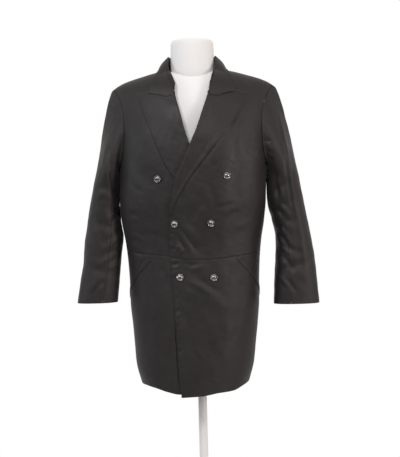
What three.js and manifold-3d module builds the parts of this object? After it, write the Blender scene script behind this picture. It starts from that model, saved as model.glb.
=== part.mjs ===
// A double-breasted trench coat on a dress form, in millimetres.
// +Z is up, the coat faces -Y, and the origin is under the base plate on the axis of the pole.
// Every cloth piece is a closed wall between an outer grid of points and the same grid moved in.
import * as THREE from "three";
import Module from "manifold-3d";
import { mergeVertices } from "three/addons/utils/BufferGeometryUtils.js";

const wasm = await Module();
wasm.setup();

const CLOTH = 1.8; // thickness of a panel with its facing pressed flat
const LAPEL_CLOTH = 1.6;
const SEAM = 0.3; // air between two pieces sewn together
const DEG = Math.PI / 180;

const ARMPIT_Z = 1165;
const UPPER = 300; // cloth length from the armpit level over the chest to the shoulder seam
const SHOULDER_H = ARMPIT_Z + UPPER;
const DOME = 2.2; // exponent of the profile that closes the chest over to the shoulder seam
const SHOULDER_Y = 6;
const SHOULDER_SPREAD = 0.14; // how much wider the shoulders are than the chest
const SHOULDER_CENTRE = -2;

// Rings of the body: half width about its own centre, depth to the front and to the back.
const BODY = rows(["z", "centre", "half", "front", "back", "square"], [
  [500, -18, 143, 126, 134, 2.3],
  [545, -18, 155, 129, 138, 2.3],
  [603, -17.5, 170, 130, 138, 2.3],
  [661, -16, 175.5, 128, 134, 2.3],
  [719, -14.5, 181, 126, 130, 2.35],
  [777, -14.5, 186, 124, 126, 2.35],
  [835, -14, 187, 121, 121, 2.35],
  [893, -14, 190, 118, 112, 2.35],
  [951, -14, 196, 117, 105, 2.4],
  [1010, -14, 206, 120, 105, 2.45],
  [1067, -13, 211, 126, 109, 2.5],
  [1165, -9, 212, 128, 116, 2.5],
]);

// Height of the shoulder seam over its distance from the centre.
const SHOULDER = rows(["r", "z"], [
  [0, 1448],
  [60, 1446],
  [93, 1442],
  [160, 1425],
  [195, 1414],
  [215, 1405],
  [237, 1390],
  [260, 1370],
]);

// The armhole: cloth length above the armpit, and the angle of its edge from the front and from the back.
const ARMHOLE = rows(["up", "front", "back"], [
  [0, 90, 90],
  [3, 82, 82],
  [10, 77, 77.5],
  [24, 73.5, 75],
  [50, 71.5, 74],
  [85, 70.5, 73.5],
  [122, 71, 74],
  [160, 73, 75.5],
  [200, 76, 78],
  [235, 78.5, 80],
  [263, 80.5, 81],
  [284, 81.5, 81.5],
  [UPPER - 0.25, 82, 82],
]);

// Front views of the edges of the two fronts, from the hem up to the end of the neckline.
const LEFT_EDGE = rows(["x", "z"], [
  [-56, 520],
  [-57, 543],
  [-63, 618],
  [-67, 752],
  [-73, 856],
  [-77.5, 937],
  [-76, 1031],
  [-68, 1090],
  [-57, 1130],
  [-40, 1163],
  [-20, 1212],
  [5, 1264],
  [20, 1306],
  [36, 1352],
  [54, 1398],
  [74, 1436],
]);
const RIGHT_EDGE = rows(["x", "z"], [
  [28, 520],
  [29, 545],
  [38, 700],
  [46, 900],
  [48, 1031],
  [38, 1075],
  [12, 1145],
  [-21, 1229],
  [-43, 1310],
  [-52, 1352],
  [-64, 1398],
  [-82, 1436],
]);

// Lapels in front view: roll line, outer edge and top edge, each from below or from the roll line out,
// and the height from which the roll line is soft.
const LAPEL_CLEAR = 0.85; // a lapel lies this far over its front
const ROLL_HEIGHT = 4.5; // how far a lapel stands off where it rolls over
const LEFT_LAPEL = {
  soft: 1050,
  roll: rows(["x", "z"], [
    [-78, 1024],
    [-72, 1066],
    [-62, 1112],
    [-43.5, 1157],
    [-24, 1204],
    [2, 1262],
    [17.5, 1306],
    [37, 1362],
  ]),
  edge: rows(["x", "z"], [
    [-76, 1022],
    [-57, 1066],
    [-43, 1090],
    [-26, 1118],
    [9, 1164],
    [45, 1209],
    [76, 1247],
    [105, 1286],
    [144, 1362],
  ]),
  top: rows(["x", "z"], [
    [37, 1362],
    [48, 1358],
    [61, 1355],
    [85, 1361],
    [109, 1366],
    [118, 1363],
    [144, 1362],
  ]),
};
const RIGHT_LAPEL = {
  soft: 1225,
  roll: rows(["x", "z"], [
    [49, 1024],
    [39, 1072],
    [26, 1104],
    [11, 1144],
    [-7, 1190],
    [-23, 1232],
    [-40, 1304],
    [-55, 1362],
  ]),
  edge: rows(["x", "z"], [
    [44, 1022],
    [8, 1064],
    [-30, 1098],
    [-61, 1128],
    [-85, 1166],
    [-100, 1202],
    [-133, 1290],
    [-157, 1362],
  ]),
  top: rows(["x", "z"], [
    [-55, 1362],
    [-66, 1358],
    [-79, 1355],
    [-103, 1361],
    [-126, 1366],
    [-135, 1363],
    [-157, 1362],
  ]),
};

// The collar, half of it: fold line and outer edge from the middle of the back to the gorge.
const COLLAR_CENTRE = -5;
const COLLAR_FOLD = rows(["x", "y", "z"], [
  [0, 74, 1484],
  [38, 65, 1486],
  [62, 38, 1488],
  [69, 6, 1486],
  [67, -20, 1466],
  [59, -52, 1422],
  [47, -84, 1374],
]);
const COLLAR_EDGE = rows(["x", "y", "z"], [
  [0, 90, 1400],
  [46, 84, 1404],
  [84, 56, 1422],
  [97, 4, 1445],
  [102, -40, 1428],
  [112, -66, 1401],
  [121, -84, 1369],
]);
const NECK_SEAM = rows(["x", "y", "z"], [
  [0, 67, 1422],
  [36, 60, 1424],
  [62, 38, 1436],
  [72, 6, 1450],
  [68, -22, 1440],
  [58, -56, 1402],
  [48, -78, 1372],
]);
const COLLAR_TURN = 2.2; // gap between the stand and the fall where the collar folds
const COLLAR_BELLY = 5;
const COLLAR_CLEAR = 0.9;
const GORGE_SHARE = 0.69; // how far along the lapel's top edge the collar is sewn
const GORGE_GAP = 3.4; // room between the collar's end and that edge

// Sleeves: rings below the armhole, with the faces next to the body and away from it.
const LEFT_SLEEVE = rows(["z", "inner", "outer", "y", "depth"], [
  [1120, 202, 297, 4, 68],
  [1067, 201.6, 306, 3, 64],
  [1010, 213, 316, 1, 60],
  [951, 223, 326, -4, 57],
  [893, 221, 334, -11, 54],
  [836, 216, 338, -19, 50],
  [765, 212, 342, -29, 45],
]);
const RIGHT_SLEEVE = rows(["z", "inner", "outer", "y", "depth"], [
  [1120, 223.5, 298, 4, 72],
  [1067, 225.4, 309, 3, 68],
  [1010, 221.4, 319, 1, 62],
  [972, 215.4, 325.5, -2, 59.5],
  [951, 217.5, 329, -4, 58],
  [893, 225, 333, -11, 54],
  [836, 230, 343, -19, 50],
  [781, 236, 351, -28, 45],
]);
const SLEEVE_SQUARE = 2.3;
const FRONT_SEAM_COLUMN = 4;
const BACK_SEAM_COLUMN = 20;
const HOLE_MIDDLE = { x: 208, z: 1275 };
const CAP_STEPS = [0, 0.1, 0.22, 0.36, 0.52, 0.68, 0.84]; // rows from the armhole to the upper arm

// Seams across the body, in front view, by height over x.
const WAIST_SEAM = rows(["x", "z"], [
  [-206, 925],
  [-153, 918],
  [-81, 909],
  [-34, 899],
  [23, 898],
  [77, 902],
  [121, 908],
  [178, 912],
]);

// Hems: the fronts dip towards their edges, and the backs are level.
const LEFT_HEM = rows(["x", "z"], [
  [-60, 518.5],
  [0, 522],
  [50, 529],
  [88, 531],
  [120, 541],
  [137, 547],
]);
const RIGHT_HEM = rows(["x", "z"], [
  [-155, 547],
  [-128, 542],
  [-99, 534],
  [-60, 527],
  [30, 527],
]);
const BACK_HEM_Z = 547;

// The largest folds in front view: a ridge or trough from one point to another.
const FRONT_FOLDS = rows(["x1", "z1", "x2", "z2", "wide", "high"], [
  [-34, 980, -16, 966, 15, 2.4],
  [-16, 966, 18, 1028, 15, 2.2],
  [-45, 935, 0, 880, 16, 2.0],
  [-20, 812, 66, 770, 18, 2.2],
  [150, 1190, 110, 1130, 16, -2.2],
  [-180, 1180, -140, 1125, 16, -2.2],
]);
const BACK_FOLDS = rows(["x1", "z1", "x2", "z2", "wide", "high"], [
  [120, 1010, 40, 965, 14, -2.0],
  [-140, 1010, -60, 965, 14, -2.0],
  [90, 880, 110, 640, 26, 4.0],
  [-118, 880, -138, 640, 26, 4.0],
]);

// Sleeve folds round the tube: angle from the body side over the front, height, slant, width and height.
const SLEEVE_FOLDS = rows(["turn", "z", "slant", "wide", "long", "high"], [
  [60, 1090, 0.5, 12, 45, -3.2],
  [45, 1035, 0.4, 12, 50, -3.4],
  [42, 985, 0.35, 11, 50, -3.0],
  [50, 925, -0.3, 12, 45, -2.8],
  [70, 870, 0.25, 13, 50, -2.4],
  [300, 1080, -0.4, 13, 50, -3.0],
  [310, 1000, -0.3, 13, 50, -3.0],
  [300, 900, 0.3, 14, 50, -2.4],
]);

const BUTTON = { radius: 10, shank: 2.6, standOff: 1.6, seat: 0.6 };
const BUTTONS = rows(["row", "x", "z"], [
  ["top_left", 82.5, 1129],
  ["top_right", -108.5, 1125],
  ["middle_left", 35.5, 999.5],
  ["middle_right", -64, 999.5],
  ["bottom_left", 40, 848],
  ["bottom_right", -53, 851],
]);

// Pocket welts, from under the waist seam slanting down to the side, by angle round the body and height.
const WELT = { wide: 13, thick: 1.6 };
const DEGREE_MM = 3.1; // a degree round the hips in millimetres
const POCKETS = rows(["side", "angle1", "z1", "angle2", "z2"], [
  ["left", 50, 898, 87, 788],
  ["right", -50, 900, -87, 790],
]);

const FORM = rows(["z", "half", "front", "back"], [
  [700, 140, 92, 100],
  [760, 155, 103, 112],
  [835, 158, 106, 112],
  [900, 146, 98, 96],
  [951, 132, 90, 86],
  [1010, 140, 94, 88],
  [1067, 154, 102, 94],
  [1165, 172, 108, 102],
]);
const FORM_CLEAR = 0.7; // air between the form's shoulders and the cloth that hangs on them
const FORM_HALF = 186; // half width of the form's shoulders
const NECK_TOP_Z = 1530;
const NECK_WIDENING = 1.185; // the neck is wider than it is deep
const FERRULE = { top: 699.7, bottom: 655, radius: 21 };
const POLE_RADIUS = 12.5;
const SOCKET = { top: 60, radius: 22 };
const BASE = { radius: 175, rim: 8, crown: 16 };

const satin = new THREE.MeshStandardMaterial({ color: 0x2b2829, roughness: 0.45 });
const silver = new THREE.MeshStandardMaterial({ color: 0xb9b9bb, roughness: 0.28, metalness: 1 });
const formCloth = new THREE.MeshStandardMaterial({ color: 0xf2f1ef, roughness: 0.85 });
const whitePaint = new THREE.MeshStandardMaterial({ color: 0xe6e6e4, roughness: 0.4 });

function rows(columns, values) {
  return values.map((row) => Object.fromEntries(columns.map((name, i) => [name, row[i]])));
}

const clamp = (x, low, high) => Math.min(Math.max(x, low), high);
const lerp = (a, b, t) => a + (b - a) * t;
const smoothstep = (low, high, x) => {
  const t = clamp((x - low) / (high - low), 0, 1);
  return t * t * (3 - 2 * t);
};
const spaced = (low, high, count) =>
  Array.from({ length: count + 1 }, (_, i) => lerp(low, high, i / count));

// A smooth curve through a column of a table, by cubic pieces whose slopes never overshoot.
function follow(table, key, value) {
  const x = table.map((row) => row[key]);
  const y = table.map((row) => row[value]);
  if (x[0] > x[x.length - 1]) return follow([...table].reverse(), key, value);
  const slope = x.slice(1).map((_, i) => (y[i + 1] - y[i]) / (x[i + 1] - x[i]));
  const tangent = x.map((_, i) => {
    if (i === 0) return slope[0];
    if (i === x.length - 1) return slope[i - 1];
    const [a, b] = [slope[i - 1], slope[i]];
    return a * b <= 0 ? 0 : (2 * a * b) / (a + b);
  });
  return (at) => {
    let i = 0;
    while (i < x.length - 2 && at > x[i + 1]) i++;
    const step = x[i + 1] - x[i];
    const t = clamp((at - x[i]) / step, 0, 1);
    const past = at - clamp(at, x[0], x[x.length - 1]);
    const [t2, t3] = [t * t, t * t * t];
    return (
      y[i] * (2 * t3 - 3 * t2 + 1) +
      tangent[i] * step * (t3 - 2 * t2 + t) +
      y[i + 1] * (3 * t2 - 2 * t3) +
      tangent[i + 1] * step * (t3 - t2) +
      past * tangent[past < 0 ? 0 : x.length - 1]
    );
  };
}

// A smooth curve through the rows of a table by their order, from 0 to 1.
function route(table, ...names) {
  const ordered = table.map((row, i) => ({ ...row, order: i / (table.length - 1) }));
  const curves = names.map((name) => follow(ordered, "order", name));
  return (t) => curves.map((curve) => curve(t));
}

const ringCentre = follow(BODY, "z", "centre");
const ringHalf = follow(BODY, "z", "half");
const ringFront = follow(BODY, "z", "front");
const ringBack = follow(BODY, "z", "back");
const ringSquare = follow(BODY, "z", "square");
const shoulderZ = follow(SHOULDER, "r", "z");

const bodyCentre = (z, turn) => lerp(ringCentre(Math.min(z, ARMPIT_Z)), SHOULDER_CENTRE, turn);
const spread = (turn) => 1 + SHOULDER_SPREAD * turn * turn;

// Folds are added along y, so that all the layers over one place move together.
function foldDepth(folds, x, z) {
  let depth = 0;
  for (const fold of folds) {
    const [dx, dz] = [fold.x2 - fold.x1, fold.z2 - fold.z1];
    const length = Math.hypot(dx, dz);
    const along = ((x - fold.x1) * dx + (z - fold.z1) * dz) / length;
    const across = ((x - fold.x1) * dz - (z - fold.z1) * dx) / length;
    const past = Math.max(-along, along - length, 0);
    const spot = (across / fold.wide) ** 2 + (past / (1.5 * fold.wide)) ** 2;
    depth += fold.high * Math.exp(-spot);
  }
  return depth;
}

// The body's surface. The angle goes from the front (0) over +X (90) to the back (180), and the height
// is z up to the armpit, then cloth length over the dome of the chest to the shoulder seam.
function bodyPoint(angle, height) {
  const turn = clamp((height - ARMPIT_Z) / UPPER, 0, 1);
  const ringZ = Math.min(height, ARMPIT_Z);
  const [s, c] = [Math.sin(angle * DEG), Math.cos(angle * DEG)];
  const deep = c > 0 ? ringFront(ringZ) : ringBack(ringZ);
  const square = ringSquare(ringZ);
  const reach = (Math.abs(s / ringHalf(ringZ)) ** square + Math.abs(c / deep) ** square) ** (-1 / square);
  const x = bodyCentre(ringZ, turn) + reach * s * spread(turn);
  const rise = Math.sin((turn * Math.PI) / 2) ** (2 / DOME);
  const sink = Math.max(Math.cos((turn * Math.PI) / 2), 0) ** (2 / DOME);
  const z = ringZ + (turn > 0 ? (shoulderZ(Math.abs(x - SHOULDER_CENTRE)) - ARMPIT_Z) * rise : 0);
  const folds = c > 0 ? -foldDepth(FRONT_FOLDS, x, z) : foldDepth(BACK_FOLDS, x, z);
  const y = lerp(turn > 0 ? SHOULDER_Y : 0, -reach * c, sink);
  return new THREE.Vector3(x, y + folds * sink * Math.abs(c) ** 0.5, z);
}

function bodyNormal(angle, height) {
  const [da, dh] = [0.4, 2];
  const top = Math.min(height + dh, SHOULDER_H - 0.01);
  const around = bodyPoint(angle + da, height).sub(bodyPoint(angle - da, height));
  const up = bodyPoint(angle, top).sub(bodyPoint(angle, height - dh));
  return around.cross(up).normalize();
}

// The angle and height of a place given in front view.
function bodySpot(x, z) {
  const over = z > ARMPIT_Z;
  const t = over ? (z - ARMPIT_Z) / (shoulderZ(Math.abs(x - SHOULDER_CENTRE)) - ARMPIT_Z) : 0;
  const turn = over ? (Math.asin(clamp(t, 0, 1) ** (DOME / 2)) * 2) / Math.PI : 0;
  const ringZ = Math.min(z, ARMPIT_Z);
  const away = (x - bodyCentre(ringZ, turn)) / spread(turn);
  const square = ringSquare(ringZ);
  const left = Math.max(1 - Math.abs(away / ringHalf(ringZ)) ** square, 0) ** (1 / square);
  const angle = Math.atan2(away, ringFront(ringZ) * left) / DEG;
  return { angle, height: over ? ARMPIT_Z + turn * UPPER : z };
}

// The height of the dome over a place in top view.
function domeZ(x, y) {
  let turn = 0.8;
  for (let i = 0; i < 8; i++) {
    const away = Math.abs((x - bodyCentre(ARMPIT_Z, turn)) / spread(turn) / ringHalf(ARMPIT_Z));
    const square = ringSquare(ARMPIT_Z);
    const left = Math.max(1 - away ** square, 0) ** (1 / square);
    const side = y < SHOULDER_Y ? 1 : -1;
    const deep = (side > 0 ? ringFront : ringBack)(ARMPIT_Z) * left + side * SHOULDER_Y;
    const sink = clamp(Math.abs(y - SHOULDER_Y) / deep, 0, 1);
    turn = (Math.acos(sink ** (DOME / 2)) * 2) / Math.PI;
  }
  const rise = Math.sin((turn * Math.PI) / 2) ** (2 / DOME);
  return ARMPIT_Z + (shoulderZ(Math.abs(x - SHOULDER_CENTRE)) - ARMPIT_Z) * rise;
}

const onBody = (angle, height, lift) => ({
  point: bodyPoint(angle, height).addScaledVector(bodyNormal(angle, height), lift),
  normal: bodyNormal(angle, height),
});

const atFront = (x, z, lift) => {
  const { angle, height } = bodySpot(x, z);
  return onBody(angle, height, lift);
};

// A closed wall under a grid of spots, each with its point and its outward normal.
function wall(grid, thickness, closed = false) {
  const [m, n] = [grid.length, grid[0].length];
  const position = [];
  for (const side of [0, thickness]) {
    for (const row of grid) {
      for (const { point, normal } of row) {
        position.push(...point.clone().addScaledVector(normal, -side).toArray());
      }
    }
  }
  const outer = (j, i) => j * n + (i % n);
  const inner = (j, i) => m * n + outer(j, i);
  const faces = [];
  const quad = (a, b, c, d) => faces.push(a, b, c, a, c, d);
  const columns = closed ? n : n - 1;
  for (let j = 0; j < m - 1; j++) {
    for (let i = 0; i < columns; i++) {
      quad(outer(j, i), outer(j, i + 1), outer(j + 1, i + 1), outer(j + 1, i));
      quad(inner(j, i), inner(j + 1, i), inner(j + 1, i + 1), inner(j, i + 1));
    }
  }
  const rim = [];
  for (let i = 0; i < columns; i++) rim.push([[0, i], [0, i + 1]], [[m - 1, i + 1], [m - 1, i]]);
  for (let j = 0; j < m - 1 && !closed; j++) rim.push([[j, n - 1], [j + 1, n - 1]], [[j + 1, 0], [j, 0]]);
  for (const [a, b] of rim) quad(outer(...b), outer(...a), inner(...a), inner(...b));
  return solidGeometry(position, faces);
}

// A geometry from points and triangles, with its faces turned outward and coloured flat.
function solidGeometry(position, faces) {
  let volume = 0;
  const at = (i) => new THREE.Vector3().fromArray(position, 3 * i);
  for (let k = 0; k < faces.length; k += 3) {
    volume += at(faces[k]).dot(at(faces[k + 1]).cross(at(faces[k + 2])));
  }
  if (volume < 0) {
    for (let k = 0; k < faces.length; k += 3) [faces[k + 1], faces[k + 2]] = [faces[k + 2], faces[k + 1]];
  }
  const geometry = new THREE.BufferGeometry();
  geometry.setAttribute("position", new THREE.Float32BufferAttribute(position, 3));
  geometry.setIndex(faces);
  geometry.computeVertexNormals();
  return geometry;
}

// Outward normals for a grid of points, each from its neighbours in the grid.
function withNormals(points, closed = false) {
  const [m, n] = [points.length, points[0].length];
  const column = (i) => (closed ? (i + n) % n : clamp(i, 0, n - 1));
  const row = (j) => clamp(j, 0, m - 1);
  return points.map((line, j) =>
    line.map((point, i) => {
      const across = points[j][column(i + 1)].clone().sub(points[j][column(i - 1)]);
      const along = points[row(j + 1)][i].clone().sub(points[row(j - 1)][i]);
      return { point, normal: across.cross(along).normalize() };
    }),
  );
}

// The angle of a front's edge over the height.
function edgeAngle(table) {
  return follow(table.map(({ x, z }) => bodySpot(x, z)), "height", "angle");
}

const leftEdge = edgeAngle(LEFT_EDGE);
const rightEdge = edgeAngle(RIGHT_EDGE);
const waistSeam = follow(WAIST_SEAM, "x", "z");
const armholeFront = follow(ARMHOLE, "up", "front");
const armholeBack = follow(ARMHOLE, "up", "back");
const SEAM_TURN = (SEAM / 2 / 190) / DEG; // half a seam as an angle of the body's rings

// The top front lies over the other front, and over its lapel above the waist.
function overlapLift(x, z) {
  const over = (1 - smoothstep(58, 118, x)) * (1 - smoothstep(1235, 1330, z));
  return over * lerp(2.9, 5.4, smoothstep(925, 1010, z));
}

const sideEdge = (edge, height) =>
  height <= ARMPIT_Z ? 90 : edge(height - ARMPIT_Z);

// Heights of the rows of a bodice: from the waist seam or the hem to the armpit, then the armhole's own rows.
function bodiceRows(lowest, count) {
  const low = spaced(0, 1, count).slice(0, -1).map((f) => (angle) => lerp(lowest(angle), ARMPIT_Z, f));
  return [...low, ...ARMHOLE.map(({ up }) => () => ARMPIT_Z + up)];
}

// A panel of the body between two edges, each an angle over the height.
function bodyPanel(from, to, rowHeights, columns, lift = () => 0) {
  return wall(
    rowHeights.map((heightAt) => {
      const [low, high] = [from(heightAt(from(heightAt(0)))), to(heightAt(to(heightAt(0))))];
      return spaced(low, high, columns).map((angle) => {
        const height = heightAt(angle);
        const { x, z } = bodyPoint(angle, height);
        return onBody(angle, height, lift(x, z));
      });
    }),
    CLOTH,
  );
}

const waistHeight = (side) => (angle) => waistSeam(bodyPoint(angle, 905).x) + (side * SEAM) / 2;
// The height of a hem over the angle, held level past the ends of its table.
function hemHeight(table) {
  const hem = follow(table, "x", "z");
  const [first, last] = [table[0].x, table[table.length - 1].x];
  return (angle) => hem(clamp(bodyPoint(angle, BACK_HEM_Z).x, first, last));
}

const leftSide = (height) => sideEdge(armholeFront, height) - SEAM_TURN;
const rightSide = (height) => -leftSide(height);

function fronts() {
  const seam = waistHeight(-1);
  const skirtRows = (hem) => spaced(0, 1, 9).map((f) => (angle) => lerp(hem(angle), seam(angle), f));
  return {
    front_left_bodice: bodyPanel(leftEdge, leftSide, bodiceRows(waistHeight(1), 7), 17, overlapLift),
    front_right_bodice: bodyPanel(rightSide, rightEdge, bodiceRows(waistHeight(1), 7), 17),
    front_left_skirt: bodyPanel(leftEdge, leftSide, skirtRows(hemHeight(LEFT_HEM)), 17, overlapLift),
    front_right_skirt: bodyPanel(rightSide, rightEdge, skirtRows(hemHeight(RIGHT_HEM)), 17),
  };
}

// The back neckline: how much shorter the cloth is than to the shoulder seam, by distance from the centre.
const BACK_NECK = rows(["r", "short"], [
  [0, 96],
  [36, 83],
  [58, 46],
  [70, 10],
  [78, 0],
]);
const backNeck = follow(BACK_NECK, "r", "short");

function backs() {
  const hem = () => BACK_HEM_Z;
  const rowHeights = bodiceRows(hem, 15).map((heightAt) => (angle) => {
    const height = heightAt(angle);
    const upper = (height - ARMPIT_Z) / UPPER;
    const away = Math.abs(bodyPoint(angle, SHOULDER_H).x - SHOULDER_CENTRE);
    return upper <= 0 || away > 78 ? height : height - backNeck(away) * upper;
  });
  const side = (height) => 180 - sideEdge(armholeBack, height) + SEAM_TURN;
  const centre = () => 180 - SEAM_TURN;
  return {
    back_left: bodyPanel(side, centre, rowHeights, 10),
    back_right: bodyPanel((h) => 360 - centre(h), (h) => 360 - side(h), rowHeights, 10),
  };
}

// The lapel's spots: across from the roll line to the outer edge, and up from the break to the top edge.
function lapelSpots({ roll, edge, top, soft }, base, acrossCount, upCount) {
  const [rollAt, edgeAt, topAt] = [roll, edge, top].map((table) => route(table, "x", "z"));
  return spaced(0, 1, upCount).map((v) =>
    spaced(0, 1, acrossCount).map((u) => {
      const [a, b] = [rollAt(v), edgeAt(v)];
      const [c, d, e] = [rollAt(1), edgeAt(1), topAt(u)];
      const [x, z] = [0, 1].map((k) => lerp(a[k], b[k], u) + v ** 6 * (e[k] - lerp(c[k], d[k], u)));
      const rolled = smoothstep(soft, soft + 80, z) * (1 - smoothstep(1310, 1362, z));
      const roundness = ROLL_HEIGHT * (1 - u) ** 2 * rolled;
      return atFront(x, z, base(x, z) + LAPEL_CLEAR + LAPEL_CLOTH + roundness);
    }),
  );
}

function lapels() {
  return {
    lapel_left: wall(lapelSpots(LEFT_LAPEL, overlapLift, 7, 17), LAPEL_CLOTH),
    lapel_right: wall(lapelSpots(RIGHT_LAPEL, () => 0, 7, 15), LAPEL_CLOTH),
  };
}

// One cut through the collar: up the stand, over the fold and down the fall.
function collarCut(side, t) {
  const lapel = side > 0 ? LEFT_LAPEL : RIGHT_LAPEL;
  const place = (table) => {
    const [x, y, z] = route(table, "x", "y", "z")(t);
    return new THREE.Vector3(COLLAR_CENTRE + side * x, y, z);
  };
  const [seam, fold, edge] = [NECK_SEAM, COLLAR_FOLD, COLLAR_EDGE].map(place);
  if (side < 0) fold.x -= 4 * smoothstep(0.5, 0.7, t) + 4.5 * Math.exp(-(((t - 0.84) / 0.09) ** 2));
  seam.z = Math.max(domeZ(seam.x, seam.y) + 0.8, seam.z - 30);
  const out = new THREE.Vector3(fold.x - COLLAR_CENTRE, fold.y - SHOULDER_Y, 0).normalize();
  const core = fold.clone().addScaledVector(new THREE.Vector3(0, 0, 1), -COLLAR_TURN);
  const stand = spaced(0, 1, 3).slice(0, -1);
  const points = stand.map((f) => seam.clone().lerp(core.clone().addScaledVector(out, -COLLAR_TURN), f));
  const bridging = 2.4 * smoothstep(0.5, 0.68, t) * (1 - smoothstep(0.84, 0.96, t));
  const clear = COLLAR_CLEAR + LAPEL_CLOTH + bridging;
  for (const turned of [0, 60, 120, 180]) {
    const bend = core.clone().addScaledVector(out, -COLLAR_TURN * Math.cos(turned * DEG));
    bend.z += COLLAR_TURN * Math.sin(turned * DEG);
    points.push(bend);
  }
  const start = points[points.length - 1].clone();
  const toGorge = smoothstep(0.74, 1, t);
  for (const f of spaced(0, 1, 5).slice(1)) {
    const down = start.clone().lerp(edge, f);
    down.addScaledVector(out, COLLAR_BELLY * Math.sin(Math.PI * f));
    const [x, z] = route(lapel.top, "x", "z")(GORGE_SHARE * f);
    down.lerp(atFront(x, z + GORGE_GAP, GORGE_GAP).point, toGorge);
    points.push(down);
  }
  return points.map((point) => clearOfBody(point, clear));
}

// Moves a point out until it lies at least this far over the dome.
function clearOfBody(point, clear) {
  const moved = point.clone();
  for (let i = 0; i < 3; i++) {
    const { x, y, z } = moved;
    const steep = new THREE.Vector3(
      domeZ(x - 1, y) - domeZ(x + 1, y),
      domeZ(x, y - 1) - domeZ(x, y + 1),
      2,
    ).normalize();
    const away = (z - domeZ(x, y)) * steep.z;
    moved.addScaledVector(steep, Math.max(clear - away, 0));
  }
  return moved;
}

function collar() {
  const half = spaced(0, 1, 14);
  const cuts = [...half.slice(1).reverse().map((t) => collarCut(-1, t)), ...half.map((t) => collarCut(1, t))];
  const grid = cuts[0].map((_, j) => cuts.map((cut) => cut[j]));
  return { collar: wall(withNormals(grid), LAPEL_CLOTH) };
}

// The armhole's loop, by column: up its front edge from the armpit, and down its back edge.
function armholeLoop(side) {
  const rim = (angle, up) => onBody(side * angle, ARMPIT_Z + up, 0);
  const middle = (a, b) => ({
    point: a.point.clone().lerp(b.point, 0.5),
    normal: a.normal.clone().add(b.normal).normalize(),
  });
  const front = ARMHOLE.map(({ up, front: angle }) => rim(angle, up));
  const back = ARMHOLE.map(({ up, back: angle }) => rim(180 - angle, up)).reverse();
  const last = front.length - 1;
  return [
    middle(front[0], back[last]),
    ...front.slice(1, last),
    middle(front[last], back[0]),
    ...back.slice(1, last),
  ];
}

// How far round the tube each column of the loop lies, from the side of the body over the front.
function loopTurns(loop) {
  const n = loop.length;
  const arc = loop.map((_, i) => loop[i].point.distanceTo(loop[(i + 1) % n].point));
  const sum = (from, to) => arc.slice(from, to).reduce((a, b) => a + b, 0);
  const [first, second] = [sum(0, n / 2), sum(n / 2, n)];
  return loop.map((_, i) => (i <= n / 2 ? (180 * sum(0, i)) / first : 180 + (180 * sum(n / 2, i)) / second));
}

function sleeveRing(table, side, z, turn) {
  const at = (name) => follow(table, "z", name)(z);
  const [inner, outer, y, depth] = [at("inner"), at("outer"), at("y"), at("depth")];
  const [c, s] = [Math.cos(turn * DEG), Math.sin(turn * DEG)];
  const half = (outer - inner) / 2;
  const square = SLEEVE_SQUARE;
  const reach = (Math.abs(c / half) ** square + Math.abs(s / depth) ** square) ** (-1 / square);
  const folds = SLEEVE_FOLDS.reduce((sum, fold) => {
    const round = ((((turn - fold.turn) % 360) + 540) % 360) - 180;
    const across = (z - fold.z - fold.slant * round) / fold.wide;
    return sum + fold.high * Math.exp(-(across ** 2) - (round / fold.long) ** 2);
  }, 0);
  const length = reach + (turn > 20 && turn < 340 ? folds : 0);
  return new THREE.Vector3(side * ((inner + outer) / 2 - length * c), y - length * s, z);
}

// From each column's place on the armhole, the direction along the body's cloth into the hole.
function intoHole(loop, side) {
  const middle = new THREE.Vector3(side * HOLE_MIDDLE.x, 0, HOLE_MIDDLE.z);
  const n = loop.length;
  return loop.map(({ point, normal }, i) => {
    const along = loop[(i + 1) % n].point.clone().sub(loop[(i + n - 1) % n].point);
    const into = along.cross(normal).normalize();
    return into.dot(middle.clone().sub(point)) < 0 ? into.negate() : into;
  });
}

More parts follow.
